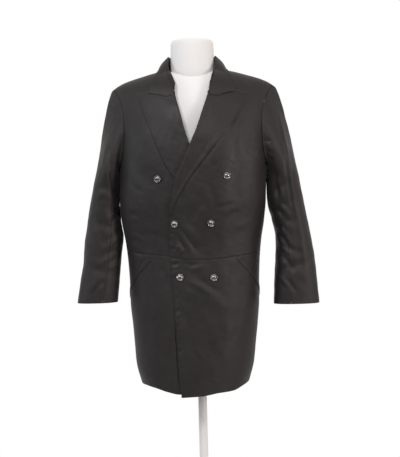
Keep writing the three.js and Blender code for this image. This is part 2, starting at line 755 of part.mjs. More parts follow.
// A sleeve from the armhole to the cuff, cut into its top piece and its under piece along two seams.
function sleeve(table, side) {
  const loop = armholeLoop(side);
  const turns = loopTurns(loop);
  const into = intoHole(loop, side);
  const bicepZ = table[0].z;
  const cuffZ = table[table.length - 1].z;
  const grid = CAP_STEPS.map((s) =>
    loop.map(({ point, normal }, i) => {
      const ring = sleeveRing(table, side, bicepZ, turns[i]);
      const below = sleeveRing(table, side, bicepZ - 10, turns[i]).sub(ring).multiplyScalar(0.1);
      const high = clamp((point.z - ARMPIT_Z) / 225, 0, 1);
      const leave = new THREE.Vector3(side * lerp(6, 62, high ** 0.5), 0, -lerp(28, 118, high));
      const start = point.clone().addScaledVector(into[i], 2 * SEAM);
      start.addScaledVector(normal, SEAM * (1 - smoothstep(0, 0.12, high)));
      const reachDown = point.distanceTo(ring) * 1.15;
      const [s2, s3] = [s * s, s * s * s];
      return start
        .multiplyScalar(2 * s3 - 3 * s2 + 1)
        .addScaledVector(leave, s3 - 2 * s2 + s)
        .addScaledVector(ring, 3 * s2 - 2 * s3)
        .addScaledVector(below, (s3 - s2) * reachDown);
    }),
  );
  for (const z of spaced(bicepZ, cuffZ, 10)) grid.push(turns.map((turn) => sleeveRing(table, side, z, turn)));
  const spots = withNormals(grid, true);
  const outermost = spots[grid.length - 1][loop.length / 2];
  const facing = Math.sign(outermost.normal.x * side);
  for (const row of spots) for (const spot of row) spot.normal.multiplyScalar(facing);
  spots[0].forEach(({ normal }, i) => {
    normal.addScaledVector(into[i], -Math.max(normal.dot(into[i]), 0)).normalize();
  });
  const near = (row, from, to) => {
    const [a, b] = [row[from].point, row[to].point];
    return { point: a.clone().lerp(b, (0.75 * SEAM) / a.distanceTo(b)), normal: row[from].normal };
  };
  const piece = (from, to) =>
    wall(
      spots.map((row) => {
        const at = (i) => (i + row.length) % row.length;
        const inside = [];
        for (let i = from + 1; i < to; i++) inside.push(row[at(i)]);
        return [near(row, at(from), at(from + 1)), ...inside, near(row, at(to), at(to - 1))];
      }),
      CLOTH,
    );
  return [
    piece(FRONT_SEAM_COLUMN, BACK_SEAM_COLUMN),
    piece(BACK_SEAM_COLUMN - loop.length, FRONT_SEAM_COLUMN),
  ];
}

function sleeves() {
  const [left_top, left_under] = sleeve(LEFT_SLEEVE, 1);
  const [right_top, right_under] = sleeve(RIGHT_SLEEVE, -1);
  return {
    sleeve_left_top: left_top,
    sleeve_left_under: left_under,
    sleeve_right_top: right_top,
    sleeve_right_under: right_under,
  };
}

// A welt lies on the skirt as a strip that slants down to the side.
function pockets() {
  return Object.fromEntries(
    POCKETS.map(({ side, angle1, z1, angle2, z2 }) => {
      const slant = Math.atan2(z1 - z2, Math.abs(angle2 - angle1) * DEGREE_MM);
      const outward = (WELT.wide * Math.sin(slant) * Math.sign(angle2)) / DEGREE_MM;
      const grid = spaced(0, 1, 10).map((v) =>
        spaced(0, 1, 2).map((u) => {
          const angle = lerp(angle2, angle1, v) + outward * u;
          const z = lerp(z2, z1, v) + WELT.wide * u * Math.cos(slant);
          const lift = side === "left" ? overlapLift(bodyPoint(angle, z).x, z) : 0;
          return onBody(angle, z, lift + 0.7 + WELT.thick);
        }),
      );
      if (side === "right") grid.reverse();
      return [`pocket_welt_${side}`, wall(grid, WELT.thick)];
    }),
  );
}

// A cast button: a dome inside a ring, on a shank. Its axis is +Y and its back is at 0.
function buttonGeometry() {
  const { radius, shank, standOff } = BUTTON;
  const profile = [
    [0, 0],
    [shank, 0],
    [shank, standOff],
    [radius - 1, standOff],
    [radius, standOff + 1],
    [radius, standOff + 2],
    [radius - 1, standOff + 2.8],
    [radius - 2.4, standOff + 2.1],
    [radius - 3.6, standOff + 2.4],
    [radius * 0.36, standOff + 3.8],
    [0, standOff + 4.2],
  ];
  const points = profile.map(([x, y]) => new THREE.Vector2(x, y));
  return new THREE.LatheGeometry(points, 16);
}

function buttonMesh({ row, x, z }) {
  const mesh = new THREE.Mesh(buttonGeometry(), silver);
  const onTop = row !== "top_right";
  const { point, normal } = atFront(x, z, (onTop ? overlapLift(x, z) : 0) + BUTTON.seat);
  mesh.position.copy(point);
  mesh.quaternion.setFromUnitVectors(new THREE.Vector3(0, 1, 0), normal);
  mesh.name = `button_${row}`;
  return mesh;
}

const formHalf = follow(FORM, "z", "half");
const formFront = follow(FORM, "z", "front");
const formBack = follow(FORM, "z", "back");

// The form's surface by the same dome as the coat, under its shoulder seam.
function formPoint(angle, turn, z) {
  const [s, c] = [Math.sin(angle * DEG), Math.cos(angle * DEG)];
  const squash = (value) => Math.sign(value) * Math.abs(value) ** (2 / 2.15);
  const deep = c > 0 ? formFront(z) : formBack(z);
  const half = lerp(formHalf(z), FORM_HALF, smoothstep(0, 1, turn));
  const x = lerp(-4, SHOULDER_CENTRE, turn) * smoothstep(835, ARMPIT_Z, z) + half * squash(s);
  const sink = Math.max(Math.cos((turn * Math.PI) / 2), 0) ** (2 / DOME);
  const rise = Math.sin((turn * Math.PI) / 2) ** (2 / DOME);
  const away = Math.abs(x - SHOULDER_CENTRE);
  const top = shoulderZ(away) - CLOTH - FORM_CLEAR - 2 * (1 - smoothstep(82, 112, away));
  return new THREE.Vector3(x, lerp(turn > 0 ? SHOULDER_Y : 0, -deep * squash(c), sink), z + (top - z) * rise);
}

// Two solids joined into one closed geometry.
function joined(a, b) {
  const [solidA, solidB] = [a, b].map((geometry) => {
    const plain = geometry.clone();
    plain.deleteAttribute("normal");
    plain.deleteAttribute("uv");
    const merged = mergeVertices(plain, 1e-3);
    return new wasm.Manifold(
      new wasm.Mesh({
        numProp: 3,
        vertProperties: merged.attributes.position.array,
        triVerts: new Uint32Array(merged.index.array),
      }),
    );
  });
  const mesh = solidA.add(solidB).getMesh();
  return solidGeometry([...mesh.vertProperties], [...mesh.triVerts]);
}

function formTorso() {
  const around = 28;
  const low = FORM.length - 1;
  const levels = spaced(FORM[0].z, ARMPIT_Z, 2 * low).map((z) => [0, z]);
  for (const turn of [0.13, 0.27, 0.41, 0.55, 0.68, 0.8, 0.88, 0.94, 1]) levels.push([turn, ARMPIT_Z]);
  const position = [];
  for (const [turn, z] of levels) {
    for (let i = 0; i < around; i++) position.push(...formPoint((360 * i) / around, turn, z).toArray());
  }
  position.push(0, 0, FORM[0].z);
  const foot = position.length / 3 - 1;
  const faces = [];
  for (let j = 0; j < levels.length - 1; j++) {
    for (let i = 0; i < around; i++) {
      const [a, b] = [j * around + i, j * around + ((i + 1) % around)];
      faces.push(a, b, b + around, a, b + around, a + around);
    }
  }
  for (let i = 0; i < around; i++) faces.push(foot, (i + 1) % around, i);
  return solidGeometry(position, faces);
}

const lathe = (profile, segments) =>
  new THREE.LatheGeometry(profile.map(([r, z]) => new THREE.Vector2(r, z)), segments).rotateX(Math.PI / 2);

function form() {
  const neck = lathe([
    [0, 1380],
    [53, 1380],
    [53.5, 1446],
    [53.5, 1462],
    [53, 1480],
    [52, NECK_TOP_Z - 5],
    [49, NECK_TOP_Z],
    [0, NECK_TOP_Z],
  ], 32);
  neck.scale(NECK_WIDENING, 1, 1).translate(COLLAR_CENTRE + 1, SHOULDER_Y, 0);
  return joined(formTorso(), neck);
}

function stand() {
  const ferrule = lathe([
    [0, FERRULE.bottom],
    [FERRULE.radius - 4, FERRULE.bottom],
    [FERRULE.radius - 2, FERRULE.bottom + 25],
    [FERRULE.radius, FERRULE.top - 8],
    [FERRULE.radius, FERRULE.top],
    [0, FERRULE.top],
  ], 24);
  const pole = lathe([
    [0, SOCKET.top + SEAM],
    [POLE_RADIUS, SOCKET.top + SEAM],
    [POLE_RADIUS, FERRULE.bottom - SEAM],
    [0, FERRULE.bottom - SEAM],
  ], 20);
  const base = lathe([
    [0, 0],
    [BASE.radius - 1, 0],
    [BASE.radius, 1],
    [BASE.radius, BASE.rim - 2],
    [BASE.radius - 3, BASE.rim],
    [BASE.radius * 0.5, BASE.crown - 2],
    [SOCKET.radius + 6, BASE.crown],
    [SOCKET.radius, BASE.crown + 4],
    [SOCKET.radius - 3, SOCKET.top - 2],
    [SOCKET.radius - 5, SOCKET.top],
    [0, SOCKET.top],
  ], 40);
  return { form_ferrule: ferrule, stand_pole: pole, stand_base: base };
}

function addAll(group, geometries, material) {
  for (const [name, geometry] of Object.entries(geometries)) {
    const mesh = new THREE.Mesh(geometry, material);
    mesh.name = name;
    group.add(mesh);
  }
}

const coat = new THREE.Group();
for (const pieces of [fronts(), backs(), sleeves(), collar(), lapels(), pockets()]) {
  addAll(coat, pieces, satin);
}
for (const row of BUTTONS) coat.add(buttonMesh(row));

const dressForm = new THREE.Group();
addAll(dressForm, { form_torso: form() }, formCloth);
addAll(dressForm, stand(), whitePaint);

const root = new THREE.Group();
root.add(coat, dressForm);
export default root;
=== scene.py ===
# Black double-breasted trench coat on a white dress form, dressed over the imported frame.
# Lengths in the tables are millimetres; a mesh is made in metres. +Z up, the coat faces -Y.
import math

import bpy
import numpy as np
from mathutils import Matrix, Vector


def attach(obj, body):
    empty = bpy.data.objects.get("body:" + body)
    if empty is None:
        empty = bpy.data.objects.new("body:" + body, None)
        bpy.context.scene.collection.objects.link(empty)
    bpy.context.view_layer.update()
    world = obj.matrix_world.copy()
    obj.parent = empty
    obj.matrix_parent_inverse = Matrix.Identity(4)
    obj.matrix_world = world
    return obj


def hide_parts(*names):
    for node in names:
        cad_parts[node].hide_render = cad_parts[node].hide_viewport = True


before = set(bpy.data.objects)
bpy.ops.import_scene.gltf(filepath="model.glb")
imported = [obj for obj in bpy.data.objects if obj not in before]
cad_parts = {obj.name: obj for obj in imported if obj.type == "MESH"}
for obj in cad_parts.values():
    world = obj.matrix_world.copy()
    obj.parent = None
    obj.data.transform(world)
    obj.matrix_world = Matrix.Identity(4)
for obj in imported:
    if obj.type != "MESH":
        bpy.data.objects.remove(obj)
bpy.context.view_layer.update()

mm = 0.001
seam = 0.3
clothThick = 1.8
lapelThick = 1.6

armpitZ = 1165
upperLength = 300
dome = 2.2
shoulderY = 6
shoulderSpread = 0.14
shoulderCentre = -2
backHemZ = 547


def table(columns, rows):
    return {name: np.array(column, float) for name, column in zip(columns, zip(*rows))}


body = table(["z", "centre", "half", "front", "back", "square"], [
    [500, -18, 143, 126, 134, 2.3],
    [545, -18, 155, 129, 138, 2.3],
    [603, -17.5, 170, 130, 138, 2.3],
    [661, -16, 175.5, 128, 134, 2.3],
    [719, -14.5, 181, 126, 130, 2.35],
    [777, -14.5, 186, 124, 126, 2.35],
    [835, -14, 187, 121, 121, 2.35],
    [893, -14, 190, 118, 112, 2.35],
    [951, -14, 196, 117, 105, 2.4],
    [1010, -14, 206, 120, 105, 2.45],
    [1067, -13, 211, 126, 109, 2.5],
    [1165, -9, 212, 128, 116, 2.5],
])
shoulder = table(["r", "z"], [
    [0, 1448], [60, 1446], [93, 1442], [160, 1425], [195, 1414], [215, 1405], [237, 1390], [260, 1370],
])
armhole = table(["up", "front", "back"], [
    [0, 90, 90],
    [3, 82, 82],
    [10, 77, 77.5],
    [24, 73.5, 75],
    [50, 71.5, 74],
    [85, 70.5, 73.5],
    [122, 71, 74],
    [160, 73, 75.5],
    [200, 76, 78],
    [235, 78.5, 80],
    [263, 80.5, 81],
    [284, 81.5, 81.5],
    [299.75, 82, 82],
])


# A smooth curve through a table's column: cubic pieces with harmonic mean slopes, so it never overshoots.
def follow(source, key, value):
    x, y = source[key], source[value]
    if x[0] > x[-1]:
        x, y = x[::-1], y[::-1]
    slope = np.diff(y) / np.diff(x)
    tangent = np.empty_like(y)
    tangent[0], tangent[-1] = slope[0], slope[-1]
    a, b = slope[:-1], slope[1:]
    same = a * b > 0
    tangent[1:-1] = np.where(same, 2 * a * b / np.where(same, a + b, 1), 0)

    def curve(at):
        at = np.asarray(at, float)
        i = np.clip(np.searchsorted(x, at, side="left") - 1, 0, len(x) - 2)
        step = x[i + 1] - x[i]
        t = np.clip((at - x[i]) / step, 0, 1)
        past = at - np.clip(at, x[0], x[-1])
        value = y[i] * (2 * t**3 - 3 * t**2 + 1) + tangent[i] * step * (t**3 - 2 * t**2 + t)
        value = value + y[i + 1] * (3 * t**2 - 2 * t**3) + tangent[i + 1] * step * (t**3 - t**2)
        return value + past * np.where(past < 0, tangent[0], tangent[-1])

    return curve


def route(source, *names):
    ordered = dict(source, order=np.linspace(0, 1, len(source[names[0]])))
    curves = [follow(ordered, "order", name) for name in names]
    return lambda t: [curve(t) for curve in curves]


def lerp(a, b, t):
    return a + (b - a) * t


def smoothstep(low, high, x):
    t = np.clip((x - low) / (high - low), 0, 1)
    return t * t * (3 - 2 * t)


ringCentre = follow(body, "z", "centre")
ringHalf = follow(body, "z", "half")
ringFront = follow(body, "z", "front")
ringBack = follow(body, "z", "back")
ringSquare = follow(body, "z", "square")
shoulderZ = follow(shoulder, "r", "z")


def bodyCentre(z, turn):
    return lerp(ringCentre(np.minimum(z, armpitZ)), shoulderCentre, turn)


# Height of a bump field: each fold is a soft ridge or trough from one point to another in front view.
def foldDepth(folds, x, z):
    depth = np.zeros(np.broadcast(x, z).shape)
    for x1, z1, x2, z2, wide, high in folds:
        length = math.hypot(x2 - x1, z2 - z1)
        ex, ez = (x2 - x1) / length, (z2 - z1) / length
        along = (x - x1) * ex + (z - z1) * ez
        across = (x - x1) * ez - (z - z1) * ex
        past = np.maximum(np.maximum(-along, along - length), 0)
        depth += high * np.exp(-((across / wide) ** 2) - (past / (1.5 * wide)) ** 2)
    return depth


largeFolds = {
    "front": [
        [-34, 980, -16, 966, 15, 2.4],
        [-16, 966, 18, 1028, 15, 2.2],
        [-45, 935, 0, 880, 16, 2.0],
        [-20, 812, 66, 770, 18, 2.2],
        [150, 1190, 110, 1130, 16, -2.2],
        [-180, 1180, -140, 1125, 16, -2.2],
    ],
    "back": [
        [120, 1010, 40, 965, 14, -2.0],
        [-140, 1010, -60, 965, 14, -2.0],
        [90, 880, 110, 640, 26, 4.0],
        [-118, 880, -138, 640, 26, 4.0],
    ],
}


# A crease in millimetres: height, width, lean to one side, and its points in front view.
# It fades at both ends and has a shallow trough beside it on the side that it leans to; lean 0 has none.
def creaseDepth(creases, x, z):
    x, z = np.broadcast_arrays(x, z)
    depth = np.zeros(x.shape)
    for high, wide, lean, *points in creases:
        line = np.array(points, float)
        order = {"order": np.linspace(0, 1, len(line)), "x": line[:, 0], "z": line[:, 1]}
        at = np.linspace(0, 1, 5 * len(line) - 4)
        lx, lz = follow(order, "order", "x")(at), follow(order, "order", "z")(at)
        reach = 4 * wide
        near = (x > lx.min() - reach) & (x < lx.max() + reach)
        near &= (z > lz.min() - reach) & (z < lz.max() + reach)
        if not near.any():
            continue
        px, pz = x[near][:, None], z[near][:, None]
        dx, dz = np.diff(lx), np.diff(lz)
        length = np.hypot(dx, dz)
        along = np.clip(((px - lx[:-1]) * dx + (pz - lz[:-1]) * dz) / length**2, 0, 1)
        ox, oz = px - lx[:-1] - along * dx, pz - lz[:-1] - along * dz
        away = np.hypot(ox, oz)
        best = away.argmin(1)
        pick = np.arange(len(best)), best
        signed = away[pick] * np.sign((px[:, 0] - lx[best]) * dz[best] - (pz[:, 0] - lz[best]) * dx[best])
        start = np.concatenate([[0], np.cumsum(length)[:-1]])
        share = (start[best] + along[pick] * length[best]) / length.sum()
        fade = smoothstep(0, 0.3, share) * smoothstep(0, 0.3, 1 - share)
        beside = np.exp(-(((signed - 1.7 * lean * wide) / (1.25 * wide)) ** 2))
        ridge = np.exp(-((signed / wide) ** 2)) - 0.55 * abs(lean) * beside
        depth[near] += high * fade * ridge
    return depth


creases = {
    "front": [
        [-2.3, 6, 1, (-52, 997), (-39, 974), (-21, 947), (-2, 912)],
        [1.2, 9, -1, (-22, 1000), (-6, 1006), (8, 1026), (22, 1058)],
        [-1.6, 5, 1, (-58, 962), (-46, 940), (-38, 920)],
        [1.0, 6, 1, (-48, 972), (-36, 948), (-22, 918)],
        [1.3, 5, 1, (-76, 928), (-62, 941)],
        [1.6, 5, -1, (-74, 915), (-45, 943)],
        [1.4, 5, 1, (-68, 903), (-35, 934)],
        [1.1, 7, 1, (46, 1005), (67, 1017), (90, 1026)],
        [-1.3, 6, -1, (44, 1040), (68, 1046), (100, 1056)],
        [1.1, 7, 1, (45, 1025), (79, 1031), (122, 1045)],
        [1.9, 10, 1, (-34, 846), (4, 824), (34, 800)],
        [-1.8, 9, 1, (-9, 853), (18, 830), (62, 802)],
        [1.3, 8, -1, (-26, 862), (-6, 876), (12, 884)],
        [-1.2, 6, 1, (-52, 811), (-66, 785)],
        [-0.8, 5, 1, (-44, 894), (-19, 884), (14, 887)],
        [-1.8, 6, 1, (-198, 932), (-173, 922), (-148, 908)],
        [1.6, 6, -1, (-190, 976), (-172, 969), (-150, 952)],
        [1.3, 5, 1, (-199, 961), (-178, 967)],
        [1.6, 6, 1, (-197, 1041), (-184, 1044), (-163, 1040)],
        [-1.4, 6, 1, (-195, 1030), (-176, 1026), (-158, 1019)],
        [1.3, 7, 1, (-14, 666), (-9, 644), (12, 624)],
        [1.2, 6, 1, (18, 573), (44, 558)],
        [-1.5, 12, 1, (-47, 765), (-33, 706), (-42, 640)],
        [1.3, 14, -1, (66, 720), (80, 648), (67, 580)],
        [1.4, 12, 1, (-138, 800), (-128, 708), (-136, 620)],
        [-1.6, 9, 1, (120, 1228), (149, 1198), (184, 1180)],
        [1.5, 8, -1, (128, 1250), (158, 1216), (186, 1206)],
        [1.2, 8, 1, (134, 912), (102, 892), (72, 880)],
        [-1.3, 10, 1, (23, 1122), (41, 1085), (48, 1045)],
        [1.4, 14, 1, (-125, 1290), (-140, 1206), (-128, 1145)],
        [-1.4, 8, 1, (-196, 1130), (-170, 1100), (-140, 1085)],
        [1.2, 9, -1, (150, 1010), (120, 990), (88, 985)],
        [1.1, 10, 1, (-150, 1000), (-120, 985), (-96, 990)],
        [-1.1, 8, 1, (-110, 880), (-92, 850), (-96, 815)],
        [1.2, 9, 1, (110, 700), (96, 660), (104, 600)],
        [-1.0, 8, 1, (-100, 600), (-84, 580), (-70, 566)],
        [
            -1.7, 3.2, 0, (-50, 1068), (-22, 1115), (13, 1161), (50, 1206), (80, 1243), (110, 1283),
            (149, 1356),
        ],
        [-2.3, 3.2, 0, (-60, 480), (-66, 618), (-71, 752), (-77, 856), (-81, 937), (-80, 1030)],
        [-3.0, 2.8, 0, (-50, 420), (-58, 520), (-64, 600), (-68, 690), (-73, 780)],
        [1.3, 5, 1, (-76, 893), (-58, 899)],
        [-1.3, 2.6, 0, (116, 906), (140, 876), (166, 842)],
        [-1.3, 2.6, 0, (-143, 909), (-164, 884), (-182, 858)],
        [1.2, 5, -1, (-73, 876), (-50, 884)],
        [1.3, 5, 1, (-75, 862), (-60, 868)],
        [1.3, 5, 1, (-71, 765), (-54, 775)],
        [1.4, 5, -1, (-70, 744), (-50, 751)],
        [1.2, 5, 1, (-69, 726), (-55, 735)],
        [1.3, 5, 1, (-66, 655), (-50, 664)],
        [1.2, 5, -1, (-65, 632), (-52, 638)],
        [1.2, 5, 1, (-64, 606), (-48, 614)],
        [-1.2, 3.2, 0, (-64, 1124), (-89, 1163), (-104, 1200), (-137, 1288), (-161, 1356)],
        [-3.4, 2.6, 0, (88, 1373), (110, 1370), (130, 1367), (160, 1362)],
        [-2.2, 2.8, 0, (-106, 1373), (-126, 1370), (-146, 1367), (-172, 1362)],
        [-4.0, 2.6, 0, (86, 1250), (110, 1283), (130, 1321), (149, 1356), (160, 1376)],
        [-1.8, 2.8, 0, (-126, 1256), (-141, 1296), (-155, 1336), (-170, 1378)],
    ],
    "back": [
        [-2.2, 8, 1, (-190, 985), (-140, 962), (-80, 950)],
        [1.8, 8, -1, (-178, 1010), (-130, 985), (-90, 978)],
        [-2.0, 8, -1, (165, 985), (115, 960), (60, 950)],
        [1.7, 8, 1, (160, 1012), (112, 986), (70, 975)],
        [1.8, 9, 1, (-196, 1165), (-160, 1120), (-138, 1060)],
        [-1.7, 9, 1, (-176, 1190), (-146, 1150), (-120, 1100)],
        [1.7, 9, -1, (178, 1160), (146, 1118), (126, 1062)],
        [-1.6, 9, -1, (160, 1196), (130, 1150), (104, 1104)],
        [1.4, 12, 1, (-90, 1330), (-60, 1300), (20, 1296), (80, 1326)],
        [-1.4, 10, 1, (-60, 1372), (-10, 1358), (50, 1368)],
        [1.8, 16, 1, (-60, 860), (-70, 760), (-52, 640)],
        [-1.8, 14, 1, (34, 840), (48, 730), (30, 610)],
        [1.5, 12, -1, (140, 800), (150, 700), (132, 600)],
        [-1.3, 9, 1, (-140, 700), (-110, 660), (-96, 600)],
        [1.3, 8, 1, (-34, 930), (0, 912), (44, 918)],
        [1.1, 7, 1, (80, 590), (100, 572), (128, 566)],
    ],
}


crumpleWaves = {"broad": (0.5, 48, 3), "fine": (0.26, 23, 8)}  # height, size and seed


# Fine unevenness of worn cloth, the same for all the layers over one place; the broad one is drawn out.
def crumple(x, z):
    broad, fine = crumpleWaves["broad"], crumpleWaves["fine"]
    return broad[0] * uneven(x, 0.7 * z, *broad[1:]) + fine[0] * uneven(x, z, *fine[1:])


# The body: superellipse rings up to the armpit, then a dome that closes over to the shoulder seam.
# The angle runs from the front (0) over +X (90) to the back (180).
def bodyPoint(angle, height):
    angle, height = np.broadcast_arrays(np.asarray(angle, float), np.asarray(height, float))
    turn = np.clip((height - armpitZ) / upperLength, 0, 1)
    ringZ = np.minimum(height, armpitZ)
    s, c = np.sin(np.radians(angle)), np.cos(np.radians(angle))
    deep = np.where(c > 0, ringFront(ringZ), ringBack(ringZ))
    square = ringSquare(ringZ)
    reach = (np.abs(s / ringHalf(ringZ)) ** square + np.abs(c / deep) ** square) ** (-1 / square)
    x = bodyCentre(ringZ, turn) + reach * s * (1 + shoulderSpread * turn**2)
    rise = np.sin(turn * np.pi / 2) ** (2 / dome)
    sink = np.maximum(np.cos(turn * np.pi / 2), 0) ** (2 / dome)
    z = ringZ + np.where(turn > 0, (shoulderZ(np.abs(x - shoulderCentre)) - armpitZ) * rise, 0)
    front = foldDepth(largeFolds["front"], x, z) + creaseDepth(creases["front"], x, z) + crumple(x, z)
    rear = foldDepth(largeFolds["back"], x, z) + creaseDepth(creases["back"], x, z) + crumple(x + 900, z)
    folds = np.where(c > 0, -front, rear)
    y = lerp(np.where(turn > 0, shoulderY, 0), -reach * c, sink)
    return np.stack([x, y + folds * sink * np.abs(c) ** 0.5, z], -1)


def unit(v):
    return v / np.maximum(np.linalg.norm(v, axis=-1, keepdims=True), 1e-12)


# Direction straight out of the body, from steps around it and up it.
def bodyNormal(angle, height):
    around = bodyPoint(angle + 0.4, height) - bodyPoint(angle - 0.4, height)
    top = np.minimum(height + 2, armpitZ + upperLength - 0.01)
    up = bodyPoint(angle, top) - bodyPoint(angle, height - 2)
    return unit(np.cross(around, up))


# The angle and height on the body of a place in front view: the rings' formula turned round.
def bodySpot(x, z):
    x, z = np.asarray(x, float), np.asarray(z, float)
    over = z > armpitZ
    t = np.where(over, (z - armpitZ) / (shoulderZ(np.abs(x - shoulderCentre)) - armpitZ), 0)
    turn = np.arcsin(np.clip(t, 0, 1) ** (dome / 2)) * 2 / np.pi
    ringZ = np.minimum(z, armpitZ)
    away = (x - bodyCentre(ringZ, turn)) / (1 + shoulderSpread * turn**2)
    square = ringSquare(ringZ)
    left = np.maximum(1 - np.abs(away / ringHalf(ringZ)) ** square, 0) ** (1 / square)
    y = ringFront(ringZ) * left
    return np.degrees(np.arctan2(away, y)), np.where(over, armpitZ + turn * upperLength, z)


# Height of the dome over a place in top view, found by going round its two equations.
def domeZ(x, y):
    turn = np.full(np.broadcast(x, y).shape, 0.8)
    for _ in range(8):
        away = np.abs((x - bodyCentre(armpitZ, turn)) / (1 + shoulderSpread * turn**2) / ringHalf(armpitZ))
        square = ringSquare(armpitZ)
        left = np.maximum(1 - away**square, 1e-9) ** (1 / square)
        ahead, behind = ringFront(armpitZ) * left + shoulderY, ringBack(armpitZ) * left - shoulderY
        deep = np.where(y < shoulderY, ahead, behind)
        sink = np.clip(np.abs(y - shoulderY) / deep, 0, 1)
        turn = np.arccos(sink ** (dome / 2)) * 2 / np.pi
    rise = np.sin(turn * np.pi / 2) ** (2 / dome)
    return armpitZ + (shoulderZ(np.abs(x - shoulderCentre)) - armpitZ) * rise


# Points moved straight out of the dome wherever they are nearer to it than the clearance.
def clearOfBody(point, clear):
    moved = np.array(point, float)
    for _ in range(3):
        x, y = moved[..., 0], moved[..., 1]
        steep = unit(np.stack([
            domeZ(x - 1, y) - domeZ(x + 1, y),
            domeZ(x, y - 1) - domeZ(x, y + 1),
            np.full_like(x, 2.0),
        ], -1))
        away = (moved[..., 2] - domeZ(x, y)) * steep[..., 2]
        moved += steep * np.maximum(clear - away, 0)[..., None]
    return moved


# Smooth unevenness from sums of sines with fixed turns, about -1 to 1.
def uneven(a, b, size, seed):
    spin = np.random.default_rng(seed)
    total = np.zeros(np.broadcast(a, b).shape)
    for k in range(7):
        way = spin.uniform(0, 2 * np.pi)
        wave = size * spin.uniform(0.7, 1.6)
        total += np.sin((a * math.cos(way) + b * math.sin(way)) * 2 * np.pi / wave + spin.uniform(0, 6.28))
    return total / 3.5


# Places along an edge-to-edge line: a few close to each end for its rounding, the rest even.
def edged(length, step, near=(0, 0.12, 0.4, 0.85, 1.5)):
    near = np.array(near)
    count = max(int(round((length - 2 * near[-1]) / step)), 2)
    middle = np.linspace(near[-1], length - near[-1], count + 1)
    return np.concatenate([near[:-1], middle, length - near[-2::-1]]) / length


# Normals of a grid, from its steps across and along.
def gridNormals(points):
    return unit(np.cross(np.gradient(points, axis=1), np.gradient(points, axis=0)))


# Distance in millimetres of each grid point from the four edges, measured along the grid's lines.
def edgeDistances(points):
    across = np.linalg.norm(np.diff(points, axis=1), axis=-1)
    along = np.linalg.norm(np.diff(points, axis=0), axis=-1)
    left = np.concatenate([np.zeros((len(points), 1)), np.cumsum(across, 1)], 1)
    low = np.concatenate([np.zeros((1, points.shape[1])), np.cumsum(along, 0)], 0)
    return left, left[:, -1:] - left, low, low[-1:] - low


# An object from faces of one or several sizes, each group an array of corner numbers, turned to face outwards
# by the sign of the volume inside them. A cloth piece also gets its own flat coordinates.
def makeObject(name, points, groups, uv=None):
    volume = 0
    for group in groups:
        for k in range(1, group.shape[1] - 1):
            volume += (points[group[:, 0]] * np.cross(points[group[:, k]], points[group[:, k + 1]])).sum()
    groups = [group if volume > 0 else group[:, ::-1] for group in groups]
    corners = np.concatenate([group.ravel() for group in groups]).astype(np.int32)
    sizes = np.concatenate([np.full(len(group), group.shape[1]) for group in groups])
    mesh = bpy.data.meshes.new(name)
    mesh.vertices.add(len(points))
    mesh.vertices.foreach_set("co", (points * mm).astype(np.float32).ravel())
    mesh.loops.add(len(corners))
    mesh.loops.foreach_set("vertex_index", corners)
    mesh.polygons.add(len(sizes))
    mesh.polygons.foreach_set("loop_start", (np.cumsum(sizes) - sizes).astype(np.int32))
    mesh.polygons.foreach_set("use_smooth", np.full(len(sizes), True))
    if uv is not None:
        layer = mesh.uv_layers.new(name="cloth")
        layer.data.foreach_set("uv", (uv[corners] * mm).astype(np.float32).ravel())
    mesh.update()
    mesh.validate()
    made = bpy.data.objects.new(f"{name}_shown", mesh)
    bpy.context.scene.collection.objects.link(made)
    return made


# A closed shell: the outer grid, the same grid moved in by the thickness, and a rim between them.
# Near an edge the two come together by a quarter circle, so that a pressed edge is round.
def shell(name, points, normals, thick):
    m, n = points.shape[:2]
    left, right, low, high = edgeDistances(points)
    nearest = np.minimum(np.minimum(left, right), np.minimum(low, high))
    radius = 0.42 * thick
    drop = radius - np.sqrt(np.maximum(radius**2 - np.maximum(radius - nearest, 0) ** 2, 0))
    outer = points - normals * drop[..., None]
    inner = points - normals * (thick - drop)[..., None]
    index = np.arange(m * n).reshape(m, n)
    a, b, c, d = index[:-1, :-1], index[:-1, 1:], index[1:, 1:], index[1:, :-1]
    front = np.stack([a, b, c, d], -1).reshape(-1, 4)
    back = np.stack([a, d, c, b], -1).reshape(-1, 4) + m * n
    loop = np.concatenate([index[0, :-1], index[:-1, -1], index[-1, :0:-1], index[:0:-1, 0]])
    after = np.roll(loop, -1)
    rim = np.stack([after, loop, loop + m * n, after + m * n], -1)
    faces = np.concatenate([front, back, rim])
    allPoints = np.concatenate([outer.reshape(-1, 3), inner.reshape(-1, 3)])
    uv = np.stack([left, low], -1).reshape(-1, 2)
    return makeObject(name, allPoints, [faces], np.tile(uv, (2, 1)))


print("frame and surfaces ready")

leftEdge = table(["x", "z"], [
    [-56, 520], [-57, 543], [-63, 618], [-67, 752], [-73, 856], [-77.5, 937], [-76, 1031], [-68, 1090],
    [-57, 1130], [-40, 1163], [-20, 1212], [5, 1264], [20, 1306], [36, 1352], [54, 1398], [74, 1436],
])
rightEdge = table(["x", "z"], [
    [28, 520], [29, 545], [38, 700], [46, 900], [48, 1031], [38, 1075], [12, 1145], [-21, 1229],
    [-43, 1310], [-52, 1352], [-64, 1398], [-82, 1436],
])
waistSeam = follow(table(["x", "z"], [
    [-206, 925], [-153, 918], [-81, 909], [-34, 899], [23, 898], [77, 902], [121, 908], [178, 912],
]), "x", "z")
neckReach = 78
neckCut = table(["r", "short"], [[0, 96], [36, 83], [58, 46], [70, 10], [neckReach, 0]])
backNeck = follow(neckCut, "r", "short")


# The angle on the body over the height, along an edge given in front view.
def edgeAngle(edge):
    angle, height = bodySpot(edge["x"], edge["z"])
    return follow({"height": height, "angle": angle}, "height", "angle")


leftFrontEdge = edgeAngle(leftEdge)
rightFrontEdge = edgeAngle(rightEdge)
armholeFront = follow(armhole, "up", "front")
armholeBack = follow(armhole, "up", "back")
seamTurn = math.degrees(seam / 2 / 190)  # half a seam's gap as an angle, at the body's usual reach


